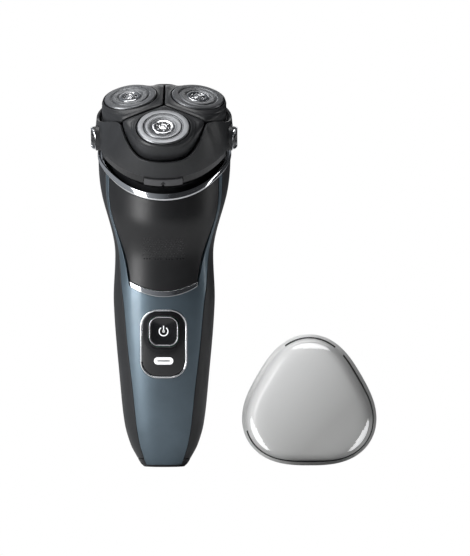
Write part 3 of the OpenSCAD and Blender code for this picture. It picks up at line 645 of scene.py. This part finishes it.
def bosses(points):
    """The shell's side bosses and hinge knuckle, without its faceted skirt."""
    p = unit_local(points)
    out = np.abs(p[:, 0])
    side = (out > 26.3) & (np.hypot(p[:, 1], p[:, 2] + PIN_DROP) < 5.6) & (out < 28.7)
    knuckle = (out < 4.1) & (np.hypot(p[:, 1] - 26.6, p[:, 2] + 18.6) < 3.2)
    return side | knuckle


fittings = trimmed_copy("head_shell_fittings", "head_shell", bosses)
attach(fittings, "head"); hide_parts("head_shell")

# %% [markdown]
# A pod is a stepped saucer round its guard, cut by the two seams beside it and by the shell's
# rim. In polar steps round the head's axis its outer edge is whichever of those it meets first,
# and its height falls in small ledges near the guard and then faster towards the rim.

# %% Pods
POD_STEPS = 240
POD_SEAM = 0.62
POD_INSET = 1.45


def pod_outline(way):
    """Reach from a head's axis, in each direction, to the pod's seams or to the shell's rim."""
    reach = np.full(way.shape, 60.0)
    for side in (-1, 1):
        n = np.array([side * math.cos(math.radians(60)), math.sin(math.radians(60))])
        toward = n[0] * np.sin(way) + n[1] * -np.cos(way)
        room = -POD_SEAM - (n[1] * -HEAD_R)
        meets = room / np.maximum(toward, 1e-6)
        reach = np.where(toward > 1e-6, np.minimum(reach, meets), reach)
    t = np.linspace(0, 24, 481)
    for k, w in enumerate(way):
        x, y = t * math.sin(w), -HEAD_R - t * math.cos(w)
        a = np.degrees(np.arctan2(x, -y))
        inside = np.hypot(x, y) < rim_radius(a) - POD_INSET
        beyond = np.nonzero(~inside & (np.abs(a) <= 60.5))[0]
        if len(beyond):
            reach[k] = min(reach[k], t[beyond[0]])
    return reach


def pod_grid():
    """Grid of a pod: inner wall, two ledges, the saucer, a rounded brim and a short skirt."""
    way = np.arange(POD_STEPS) * 2 * math.pi / POD_STEPS
    edge = pod_outline(way)
    kernel = np.array([1, 2, 3, 2, 1]) / 9.0
    edge = np.convolve(np.concatenate([edge[-2:], edge, edge[:2]]), kernel, "valid")
    edge = np.maximum(edge, 11.75)
    x, y = edge * np.sin(way), -HEAD_R - edge * np.cos(way)
    around = np.degrees(np.arctan2(x, -y))
    at_rim = rim_radius(around) - POD_INSET - np.hypot(x, y) < 0.6
    along = (edge * np.cos(way)) * math.sin(CANT)
    target = np.where(at_rim, rim_height(around) + 0.15 + along, -1.9)
    target = np.convolve(np.concatenate([target[-4:], target, target[:4]]), np.ones(9) / 9, "valid")
    target = np.minimum(target, -1.0)
    rows = [(11.12, -3.4), (11.14, -2.0)]
    for r, z in ((11.16, -1.9), (11.4, -1.88), (11.45, -1.8), (11.47, -0.85), (11.55, -0.7),
                 (11.68, -0.66)):
        rows.append((np.minimum(r, edge - 0.3), z))
    spare = np.maximum(edge - 12.0, 0.05)
    for t, share in ((0.10, 0.02), (0.26, 0.05), (0.30, 0.07), (0.325, 0.20), (0.36, 0.235),
                     (0.55, 0.28), (0.70, 0.40), (0.82, 0.58), (0.93, 0.80), (0.985, 0.95)):
        rows.append((np.minimum(12.0, edge - 0.25) + spare * t, -1.3 + (target + 1.3) * share))
    rows.append((edge, target - 0.1))
    rows.append((edge, target - 1.0))
    rows.append((edge - 0.5, target - 1.2))
    r = np.stack([row[0] + 0 * way for row in rows])
    z = np.stack([row[1] + 0 * way for row in rows])
    return np.stack([r * np.sin(way), -r * np.cos(way), z], -1)


for name in HEADS:
    pod = grid_mesh("pod_skin_" + name, in_unit(head_to_unit(pod_grid(), name)), wrap=True)
    facing_out(pod, UNIT_UP)
    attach(pod, "pod_" + name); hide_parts("pod_" + name)
    print(pod.name, len(pod.data.vertices), "points")

# %% [markdown]
# A guard is a thin steel cap with two ring tracks of fine slots. The slots are real holes: the
# ring grid has three columns to a slot, and the faces over each slot are left out before the
# skin gets its thickness. A bright button sits in its middle, in a dark well with six ribs.

# %% Guards
def on_head(part, head, profile, columns, keep=None):
    """Revolves a profile about a head's axis, with the faces for which keep(row, column) holds."""
    points = in_unit(head_to_unit(revolve(profile, columns), head))
    quads, j, i = grid_quads(*points.shape[:2])
    kept = quads[keep(j, i)] if keep else quads.reshape(-1, 4)
    return mesh_object(part + "_" + head, points.reshape(-1, 3), kept)


def slotted(cut_rows):
    """Leaves out one face column in three between the given rows."""
    return lambda j, i: ~(np.isin(j, cut_rows) & (i % 3 == 1))


GUARD_WALL = 0.16
OUTER_TRACK = smooth_profile([[11.0, -3.4], [11.0, -0.5], [10.6, -0.05], [8.5, -0.02], [8.2, -0.3],
                              [7.9, -0.3]])
INNER_TRACK = smooth_profile([[7.9, -0.34], [7.7, -0.3], [7.45, -0.02], [5.6, 0.0], [5.35, -0.25],
                              [4.6, -0.28]])
HUB = smooth_profile([[4.65, -0.5], [4.6, -0.12], [4.3, -0.01], [3.25, -0.03], [3.05, -0.3]])
ROSE = smooth_profile([[1.9, -0.3], [1.8, -0.02], [1.3, 0.02], [1.15, -0.12], [0.85, -0.12],
                       [0.7, 0.0], [0.02, 0.01]])
for name in HEADS:
    outer = on_head("guard_track", name, OUTER_TRACK, 84 * 3, slotted([10, 11, 12]))
    inner = on_head("guard_inner", name, INNER_TRACK, 60 * 3, slotted([9, 12]))
    hub = on_head("guard_hub", name, HUB, 32 * 3)
    rose = on_head("guard_button", name, ROSE, 96)
    well = on_head("guard_well", name, [[3.2, -0.3], [1.7, -0.3]], 96)
    ribs = on_head("guard_ribs", name, [[3.15, -0.16], [1.75, -0.16]], 96, lambda j, i: i % 16 < 4)
    for made, slot_name in ((outer, "steel"), (inner, "steel"), (hub, "bright"), (rose, "bright"),
                            (well, "black"), (ribs, "bright")):
        facing_out(made, UNIT_UP)
        if made not in (rose, well):
            thicken(made, GUARD_WALL)
        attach(made, "guard_" + name)
    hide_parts("guard_" + name)
print("guards made")

# %% [markdown]
# ## Small fittings
# The power button is a soft, slightly dished square with a bright bezel and a power mark, the
# light is a milky pill with a fine dark line across it, and each side cap is a bright ring round
# a black, spoked centre.

# %% Button mark and light
FACE_Y = -(FRONT - 0.4)
MARK_Y = FACE_Y - 0.44


def flat_ring(name, outline_in, outline_out, y0, y1, z):
    """A band between two outlines in the XZ plane, raised from y0 at its edges to y1 between."""
    t = np.linspace(0, 1, 9)[:, None]
    lift = np.sqrt(np.clip(1 - (2 * t - 1) ** 4, 0, 1))
    x = outline_in[0] + (outline_out[0] - outline_in[0]) * t
    up = outline_in[1] + (outline_out[1] - outline_in[1]) * t
    y = y0 + (y1 - y0) * lift
    made = grid_mesh(name, np.stack([x, y + 0 * x, z + up], -1) * MM, wrap=True)
    return facing_out(made)


way = np.arange(144) * 2 * math.pi / 144


def soft_square(w, r, h=None):
    """Outline of a rounded rectangle in even directions from its middle."""
    reach = rounded_reach(way, w, w if h is None else h, r)
    return reach * np.cos(way), reach * np.sin(way)


BUTTON_DEEP = 0.6
bezel = flat_ring("button_bezel", soft_square(BUTTON - 0.6, 3.3), soft_square(BUTTON + 0.7, 3.9),
                  FACE_Y + BUTTON_DEEP, FACE_Y - 0.75, BUTTON_Z)
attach(bezel, "button"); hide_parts("button_ring")

t = np.concatenate([np.linspace(0.02, 1, 15) ** 0.6, [1.0]])[:, None]
sx, sz = soft_square(BUTTON - 0.5, 3.3)
lie = FACE_Y - 0.62 + 0.25 * (1 - t**2)
lie[-1] = FACE_Y + BUTTON_DEEP
dish = grid_mesh("button_face",
                 np.stack([sx * t, lie + 0 * sx, BUTTON_Z + sz * t], -1) * MM, wrap=True)
facing_out(dish)
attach(dish, "button"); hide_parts("power_button")

arc = np.radians(np.linspace(125, 415, 60))
mark = []
for r in (1.62, 2.02):
    mark.append(np.stack([r * np.cos(arc), 0 * arc + MARK_Y, BUTTON_Z + r * np.sin(arc)], -1))
power_arc = facing_out(grid_mesh("power_mark_ring", np.array(mark) * MM))
bar = [[[x, MARK_Y, BUTTON_Z + z] for x in (-0.2, 0.2)] for z in (0.35, 2.35)]
power_bar = facing_out(grid_mesh("power_mark_bar", np.array(bar) * MM))
for made in (power_arc, power_bar):
    thicken(made, 0.12, 1.0)
    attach(made, "button")

pill_x, pill_z = soft_square(8.0, 1.49, 3.0)
t = np.linspace(0, 1, 14)[:, None] ** 0.6
pill = grid_mesh("light_window", np.stack([pill_x * t, FACE_Y - 0.1 + 0.25 * t**4 + 0 * pill_x,
                 LIGHT_Z + pill_z * t], -1) * MM, wrap=True)
facing_out(pill)
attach(pill, "handle")
line = flat_ring("light_line", soft_square(0.02, 0.004, 0.01), soft_square(5.4, 0.24, 0.5),
                 FACE_Y - 0.13, FACE_Y - 0.16, LIGHT_Z)
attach(line, "handle")
print("button and light made")

# %% Dots on the front panel and the mark on the release tab
DOT_STEP, DOT_RISE, DOT_R, DOTS_Z = 1.15, 1.5, 0.36, 91.0
spots = []
for row in range(9):
    for column in range(-9, 10):
        x = (column + 0.5 * (row % 2)) * DOT_STEP
        z = DOTS_Z + row * DOT_RISE
        if abs(x) < 10.2 - 0.5 * abs(row - 4) and (column * 7 + row * 5) % 4 != 0:
            spots.append((x, z))
spots = np.array(spots)
bead = np.arange(6) * math.pi / 3
bead_x = spots[:, :1] + DOT_R * np.cos(bead)
bead_z = spots[:, 1:] + DOT_R * np.sin(bead)
flat = handle_point(angle_for_x(bead_x, bead_z), bead_z, 0.06)
pick = np.arange(len(spots))[:, None] * 6
dots = mesh_object("panel_dots", flat.reshape(-1, 3),
                   np.concatenate([pick + [0, 1, 2, 3], pick + [0, 3, 4, 5]]))
facing_out(dots)
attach(dots, "handle")
tab_y = -(UNIT_R + UNIT_LOBE + 0.84)
tip = np.array([[-1.2, -19.3], [1.2, -19.3], [0.15, -18.0], [-0.15, -18.0]])
tip = np.stack([tip[:, 0], np.full(4, tab_y), tip[:, 1]], -1)
tab_mark = mesh_object("tab_mark", in_unit(tip), np.array([[0, 1, 2, 3]]))
facing_out(tab_mark)
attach(tab_mark, "release")
print(len(spots), "dots")

# %% Side caps
# Each disc turns about a point TURN_AT out on its axis, and none reaches further than MOST_OUT
FACE_TURN = math.radians(24)
TURN_AT = 28.4
MOST_OUT = 30.7
BARREL = smooth_profile([[4.6, 26.6], [4.7, 28.2], [4.7, 29.9]])
RING = smooth_profile([[4.7, 29.85], [4.74, 30.2], [4.5, 30.5], [4.15, 30.5], [4.05, 30.15]])
CENTRE = smooth_profile([[4.1, 30.12], [2.2, 30.12], [2.05, 30.5], [1.3, 30.5], [1.2, 30.3],
                         [0.02, 30.3]])


def disc(profile, side, columns=96):
    """Turns a profile of (radius, distance out) about a side axis, faced a little to the front."""
    p = revolve(profile, columns)
    along, up, out = p[..., 0], p[..., 1], p[..., 2] - TURN_AT
    x = TURN_AT + out * math.cos(FACE_TURN) + along * math.sin(FACE_TURN)
    y = along * math.cos(FACE_TURN) - out * math.sin(FACE_TURN)
    return in_unit(np.stack([side * np.minimum(x, MOST_OUT), y, up - PIN_DROP], -1))


for side, name in ((1, "right"), (-1, "left")):
    sleeve = grid_mesh("side_barrel_" + name, disc(BARREL, side), wrap=True)
    outwards(sleeve, in_unit(np.array([side * 28.0, 0.0, -PIN_DROP])))
    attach(sleeve, "head")
    outer = grid_mesh("side_ring_" + name, disc(RING, side), wrap=True)
    inner = grid_mesh("side_centre_" + name, disc(CENTRE, side), wrap=True)
    spokes = disc([[2.35, 30.2], [3.75, 30.2]], side, 48)
    quads, _, i = grid_quads(2, 48)
    bars = mesh_object("side_spokes_" + name, spokes.reshape(-1, 3), quads[i % 8 < 2])
    for made, slot_name in ((outer, "bright"), (inner, "black_gloss"), (bars, "bright")):
        facing_out(made, (side, 0, 0))
        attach(made, "head")
    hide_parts("side_cap_" + name)

# %% [markdown]
# ## Protective cap
# The cap is one shell: a flared rim, a straight skirt and a softly domed top. It is a
# three-cornered ring carried along a depth profile, closed at the middle of the top, and given
# its wall by Solidify. Its faces carry three materials: the milky plastic, a thin band of painted
# dark reflection near the rim and a faintly glowing painted highlight at the corners of the top.

# %% Cap
CAP_WALL, CAP_DEPTH, CAP_X, CAP_LOBE = 0.9, 15.0, 61.0, 2.5
CAP_IN = (HEAD_R + GUARD_R + HEAD_R / 2 + 13.6) / 2 + 0.2
CAP_Z = CAP_IN + CAP_WALL + 1.9 - CAP_LOBE * 0.9
CAP_ROWS = np.array([[0, -1.9, 0.9], [0.07, -1.8, 0.92], [0.14, -0.2, 1], [0.4, 0.1, 1],
                     [0.72, 0.9, 1], [0.88, 2.1, 0.98], [0.97, 4.2, 0.9], [1, 7, 0.8]])
way = np.arange(180) * 2.0
lobes = np.cos(np.radians(3 * way))
depth = np.concatenate([np.linspace(0, 0.16, 8), np.linspace(0.2, 0.85, 12),
                        np.linspace(0.88, 1.0, 9)])[:, None]
r = CAP_IN + CAP_WALL - curve(CAP_ROWS, 1, depth) + CAP_LOBE * curve(CAP_ROWS, 2, depth) * lobes
skin = np.stack([CAP_X + r * np.sin(np.radians(way)), CAP_DEPTH / 2 - depth * CAP_DEPTH + 0 * r,
                 CAP_Z + r * np.cos(np.radians(way))], -1)
last = skin[-1]
centre = np.array([CAP_X, CAP_DEPTH / 2 - CAP_DEPTH - 0.5, CAP_Z])
shrink = np.array([0.96, 0.88, 0.76, 0.62, 0.46, 0.3, 0.15, 0.0])[:, None, None]
dome = centre + (last - centre) * shrink
dome[..., 1] = centre[1] + 0.5 * shrink[..., 0] ** 2
cap = grid_mesh("clear_cap", np.concatenate([skin, dome]) * MM, wrap=True)
level = np.concatenate([depth[:, 0], np.ones(len(dome) - 1)])[:, None]
ang = (way + 180) % 360 - 180
# Painted dark reflection: a thin band near the rim, on parts of the way round, gets a dark
# material.
painted_dark_band = ((ang > 32) | (ang < -112) | (np.abs(ang) < 24)) & (level > 0.10) & (level < 0.18)
# Painted highlight: patches at the corners of the top get a bright, faintly glowing material.
painted_highlights = (level > 0.80) & (level < 0.955) & (lobes > 0.50 + 6 * np.abs(level - 0.87))
painted_light_zone = np.where(painted_highlights, 2, np.where(painted_dark_band, 1, 0))
weld(cap, 0.001)
outwards(cap, centre * MM + np.array([0, 0.008, 0]))
wall(cap, CAP_WALL, 0)
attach(cap, "cap"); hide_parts("protective_cap")
print("cap", len(cap.data.vertices), "points")

# %% [markdown]
# ## Finishes
# A moulded or metal surface is never one flat value. Three shared node groups give masks: a fine
# grain for moulded plastic, soft smudges for gloss, and long fine scratches. Each finish puts its
# own values on them.

# %% Shared node groups
def make_group(name, inputs, outputs):
    """Starts a shader node group with named float inputs and outputs."""
    group = bpy.data.node_groups.new(name, "ShaderNodeTree")
    group.interface.new_socket("Vector", in_out="INPUT", socket_type="NodeSocketVector")
    for label, value in inputs:
        socket = group.interface.new_socket(label, in_out="INPUT", socket_type="NodeSocketFloat")
        socket.default_value = value
    for label in outputs:
        group.interface.new_socket(label, in_out="OUTPUT", socket_type="NodeSocketFloat")
    return group, group.nodes.new("NodeGroupInput"), group.nodes.new("NodeGroupOutput")


def noise(group, vector, scale, detail=4.0, rough=0.55):
    """A noise texture fed by a vector and a scale socket or number."""
    made = group.nodes.new("ShaderNodeTexNoise")
    made.inputs["Detail"].default_value = detail
    made.inputs["Roughness"].default_value = rough
    group.links.new(vector, made.inputs["Vector"])
    if isinstance(scale, (int, float)):
        made.inputs["Scale"].default_value = scale
    else:
        group.links.new(scale, made.inputs["Scale"])
    return made.outputs["Fac"]


def spread(group, value, low, high, to_low=0.0, to_high=1.0):
    """Maps a value from one range to another, held at the ends."""
    made = group.nodes.new("ShaderNodeMapRange")
    ends = {"From Min": low, "From Max": high, "To Min": to_low, "To Max": to_high}
    for label, number in ends.items():
        made.inputs[label].default_value = number
    group.links.new(value, made.inputs["Value"])
    return made.outputs["Result"]


grain, source, sink = make_group("moulded_grain", [("Scale", 2500.0)], ["Height", "Mottle"])
height = noise(grain, source.outputs["Vector"], source.outputs["Scale"], 3.0)
grain.links.new(height, sink.inputs["Height"])
mottle = noise(grain, source.outputs["Vector"], 90.0, 5.0)
grain.links.new(spread(grain, mottle, 0.3, 0.7), sink.inputs["Mottle"])

smudge, source, sink = make_group("soft_smudges", [("Scale", 60.0)], ["Mask", "Dust"])
mask = noise(smudge, source.outputs["Vector"], source.outputs["Scale"], 6.0, 0.62)
smudge.links.new(spread(smudge, mask, 0.42, 0.72), sink.inputs["Mask"])
specks = noise(smudge, source.outputs["Vector"], 1800.0, 2.0)
smudge.links.new(spread(smudge, specks, 0.68, 0.80), sink.inputs["Dust"])

scratch, source, sink = make_group("fine_scratches", [("Along", 40.0), ("Across", 3000.0)],
                                   ["Lines"])
stretch = scratch.nodes.new("ShaderNodeCombineXYZ")
scratch.links.new(source.outputs["Across"], stretch.inputs[0])
scratch.links.new(source.outputs["Across"], stretch.inputs[1])
scratch.links.new(source.outputs["Along"], stretch.inputs[2])
times = scratch.nodes.new("ShaderNodeVectorMath")
times.operation = "MULTIPLY"
scratch.links.new(source.outputs["Vector"], times.inputs[0])
scratch.links.new(stretch.outputs[0], times.inputs[1])
scratch.links.new(noise(scratch, times.outputs[0], 1.0, 3.0), sink.inputs["Lines"])
print("node groups", [g.name for g in bpy.data.node_groups])


# %% Finish builder
DUST_COLOR = (0.45, 0.45, 0.44, 1)
GRAIN_DEPTH = 0.05 * MM


def finish(name, color, rough, metallic=0.0, grain_bump=0.0, grain_scale=2500.0, smudges=0.12,
           scratches=0.0, coat=0.0, coat_rough=0.05, tint=0.10, dust=0.0, **extra):
    """A Principled finish: colour mottled by grain, roughness raised by smudges and scratches."""
    made = bpy.data.materials.new(name)
    made.use_nodes = True
    tree = made.node_tree
    shader = tree.nodes["Principled BSDF"]
    place = tree.nodes.new("ShaderNodeTexCoord").outputs["Object"]
    fine = tree.nodes.new("ShaderNodeGroup")
    fine.node_tree = grain
    fine.inputs["Scale"].default_value = grain_scale
    soft = tree.nodes.new("ShaderNodeGroup")
    soft.node_tree = smudge
    tree.links.new(place, fine.inputs["Vector"])
    tree.links.new(place, soft.inputs["Vector"])
    shade = tree.nodes.new("ShaderNodeMix")
    shade.data_type = "RGBA"
    shade.inputs[6].default_value = (*[c * (1 - tint) for c in color], 1)
    shade.inputs[7].default_value = (*[min(1, c * (1 + tint)) for c in color], 1)
    tree.links.new(fine.outputs["Mottle"], shade.inputs[0])
    base = shade.outputs[2]
    if dust:
        dusty = tree.nodes.new("ShaderNodeMix")
        dusty.data_type = "RGBA"
        dusty.inputs[7].default_value = DUST_COLOR
        amount = tree.nodes.new("ShaderNodeMath")
        amount.operation = "MULTIPLY"
        amount.inputs[1].default_value = dust
        tree.links.new(soft.outputs["Dust"], amount.inputs[0])
        tree.links.new(amount.outputs[0], dusty.inputs[0])
        tree.links.new(base, dusty.inputs[6])
        base = dusty.outputs[2]
    tree.links.new(base, shader.inputs["Base Color"])
    worn = spread(tree, soft.outputs["Mask"], 0.0, 1.0, rough, rough + smudges)
    if scratches:
        lines = tree.nodes.new("ShaderNodeGroup")
        lines.node_tree = scratch
        tree.links.new(place, lines.inputs["Vector"])
        added = tree.nodes.new("ShaderNodeMath")
        added.operation = "ADD"
        tree.links.new(worn, added.inputs[0])
        grooves = spread(tree, lines.outputs["Lines"], 0.35, 0.7, 0.0, scratches)
        tree.links.new(grooves, added.inputs[1])
        worn = added.outputs[0]
    tree.links.new(worn, shader.inputs["Roughness"])
    shader.inputs["Metallic"].default_value = metallic
    shader.inputs["Coat Weight"].default_value = coat
    shader.inputs["Coat Roughness"].default_value = coat_rough
    for label, value in extra.items():
        shader.inputs[label.replace("_", " ")].default_value = value
    if grain_bump:
        bump = tree.nodes.new("ShaderNodeBump")
        bump.inputs["Strength"].default_value = grain_bump
        bump.inputs["Distance"].default_value = GRAIN_DEPTH
        tree.links.new(fine.outputs["Height"], bump.inputs["Height"])
        tree.links.new(bump.outputs[0], shader.inputs["Normal"])
    return made


FINISHES = {
    "grip": finish("soft_grip", (0.018, 0.019, 0.021), 0.42, grain_bump=0.35, grain_scale=3500,
                   dust=0.05),
    "black_gloss": finish("piano_black", (0.008, 0.008, 0.009), 0.10, smudges=0.10, coat=0.6,
                          dust=0.05),
    "front_gloss": finish("smoked_black", (0.010, 0.010, 0.011), 0.40, smudges=0.08, coat=0.10,
                          coat_rough=0.3, grain_bump=0.06),
    "blue": finish("blue_metal_paint", (0.135, 0.180, 0.215), 0.40, metallic=0.80, smudges=0.06,
                   grain_bump=0.12, grain_scale=6000, coat=0.35, coat_rough=0.12, tint=0.07),
    "bright": finish("bright_plating", (0.82, 0.83, 0.85), 0.08, metallic=1.0, smudges=0.10,
                     tint=0.03),
    "charcoal": finish("satin_charcoal", (0.030, 0.031, 0.033), 0.33, grain_bump=0.18,
                       grain_scale=4200),
    "black": finish("fine_matt_black", (0.014, 0.0145, 0.016), 0.36, grain_bump=0.2,
                    grain_scale=4200),
    "steel": finish("ground_steel", (0.27, 0.275, 0.285), 0.30, metallic=1.0, scratches=0.12,
                    smudges=0.12, tint=0.06),
    "light": finish("milky_window", (0.90, 0.91, 0.93), 0.25, smudges=0.06, tint=0.02,
                    Emission_Color=(1, 1, 1, 1), Emission_Strength=0.6),
    "frame_grey": finish("frame_grey", (0.16, 0.17, 0.19), 0.45, grain_bump=0.25),
    "board": finish("solder_mask", (0.02, 0.16, 0.08), 0.30, grain_bump=0.15, coat=0.3),
    "cell": finish("cell_sleeve", (0.06, 0.22, 0.34), 0.35, grain_bump=0.1),
    "motor": finish("drawn_can", (0.52, 0.53, 0.55), 0.30, metallic=1.0, scratches=0.15),
    "copper": finish("copper_winding", (0.70, 0.36, 0.20), 0.35, metallic=1.0, scratches=0.1),
    "rubber": finish("seal_rubber", (0.02, 0.02, 0.02), 0.60, grain_bump=0.3),
    "gear": finish("cream_acetal", (0.78, 0.75, 0.68), 0.40, grain_bump=0.1, tint=0.04),
    "tab": finish("satin_grey_metal", (0.12, 0.12, 0.125), 0.34, metallic=0.5, scratches=0.1,
                  grain_bump=0.1),
    "cap": finish("smoky_clear", (0.60, 0.60, 0.59), 0.30, smudges=0.0, tint=0.01,
                  Transmission_Weight=0.12, IOR=1.45),
}

# %% [markdown]
# The cap's colour carries painted shading: a colour ramp makes it light at its upper left and
# darker at its lower right, as light from the left would. Each piece then gets its finish: first
# the engineering nodes by their slots, then the covers made here by name.

# %% Cap's painted shading and finishes
# Painted shading: the cap's base colour is lighter at the upper left and darker at the lower right.
milk = FINISHES["cap"].node_tree
across = milk.nodes.new("ShaderNodeSeparateXYZ")
milk.links.new(milk.nodes.new("ShaderNodeTexCoord").outputs["Object"], across.inputs[0])
slant = milk.nodes.new("ShaderNodeMath")
slant.operation = "SUBTRACT"
milk.links.new(across.outputs["X"], slant.inputs[0])
milk.links.new(across.outputs["Z"], slant.inputs[1])
painted_shade_ramp = milk.nodes.new("ShaderNodeValToRGB")
painted_shade_ramp.color_ramp.elements[0].color = (0.97, 0.97, 0.96, 1)
painted_shade_ramp.color_ramp.elements[1].color = (0.54, 0.54, 0.53, 1)
milk.links.new(spread(milk, slant.outputs[0], 0.006, 0.052), painted_shade_ramp.inputs[0])
milk.links.new(painted_shade_ramp.outputs[0], milk.nodes["Principled BSDF"].inputs["Base Color"])
# Dark material for the cap's painted reflection band near the rim.
CAP_PAINTED_REFLECTION = finish("cap_edge_line", (0.025, 0.025, 0.025), 0.40, smudges=0.06)
# Bright, faintly glowing material for the cap's painted highlight at the corners of the top.
CAP_PAINTED_HIGHLIGHT = finish("cap_polished_corner", (0.95, 0.95, 0.95), 0.08, smudges=0.04, tint=0.01,
                   Emission_Color=(1, 1, 1, 1), Emission_Strength=0.35)
slots = {s["node"]: s["material_slot"] for s in frame["record"]["subparts"]}
for name, made in nodes.items():
    choice = FINISHES[slots[name]]
    made.data.materials.clear()
    made.data.materials.append(choice)
made_here = {
    grip: "grip", panel: "front_gloss", strip: "bright", ring: "bright", front: "blue",
    rim_skin: "bright", shell: "charcoal", fittings: "charcoal", bezel: "bright",
    dish: "black_gloss", power_arc: "light", power_bar: "light", pill: "light", line: "black",
    cap: "cap", face_skin: "black_gloss", dots: "black_gloss", tab_mark: "black",
    nodes["hair_chamber"]: "black_gloss",
}
for made, choice in made_here.items():
    made.data.materials.clear()
    made.data.materials.append(FINISHES[choice])
# The cap's painted dark reflection and painted highlight go on the faces picked by their zones.
for extra in (CAP_PAINTED_REFLECTION, CAP_PAINTED_HIGHLIGHT):
    cap.data.materials.append(extra)
cap.data.polygons.foreach_set("material_index", painted_light_zone.ravel())
REPEATED = {
    "pod_skin": "charcoal", "guard_track": "steel", "guard_inner": "steel", "guard_hub": "bright",
    "guard_button": "bright", "guard_well": "black", "guard_ribs": "bright",
    "side_ring": "bright", "side_barrel": "charcoal", "side_centre": "black_gloss",
    "side_spokes": "bright",
}
for made in bpy.data.objects:
    for start, choice in REPEATED.items():
        if made.name.startswith(start):
            made.data.materials.append(FINISHES[choice])
print("finishes", len(FINISHES))

# %% [markdown]
# ## Floor
# A plain floor that runs far back. The camera sees it plain white, like the surround, so no edge
# shows. Light and reflections meet a pale matt surface instead.

# %% Floor
corners = [[[-3, -0.6, 0], [3, -0.6, 0]], [[-3, 3.0, 0], [3, 3.0, 0]]]
floor = grid_mesh("floor", np.array(corners, float))
pale = bpy.data.materials.new("pale_floor")
pale.use_nodes = True
pale_shader = pale.node_tree.nodes["Principled BSDF"]
pale_shader.inputs["Base Color"].default_value = (0.93, 0.93, 0.93, 1)
pale_shader.inputs["Roughness"].default_value = 0.6
white = pale.node_tree.nodes.new("ShaderNodeEmission")
split_by_view(pale.node_tree, pale_shader, white, "Material Output")
floor.data.materials.append(pale)
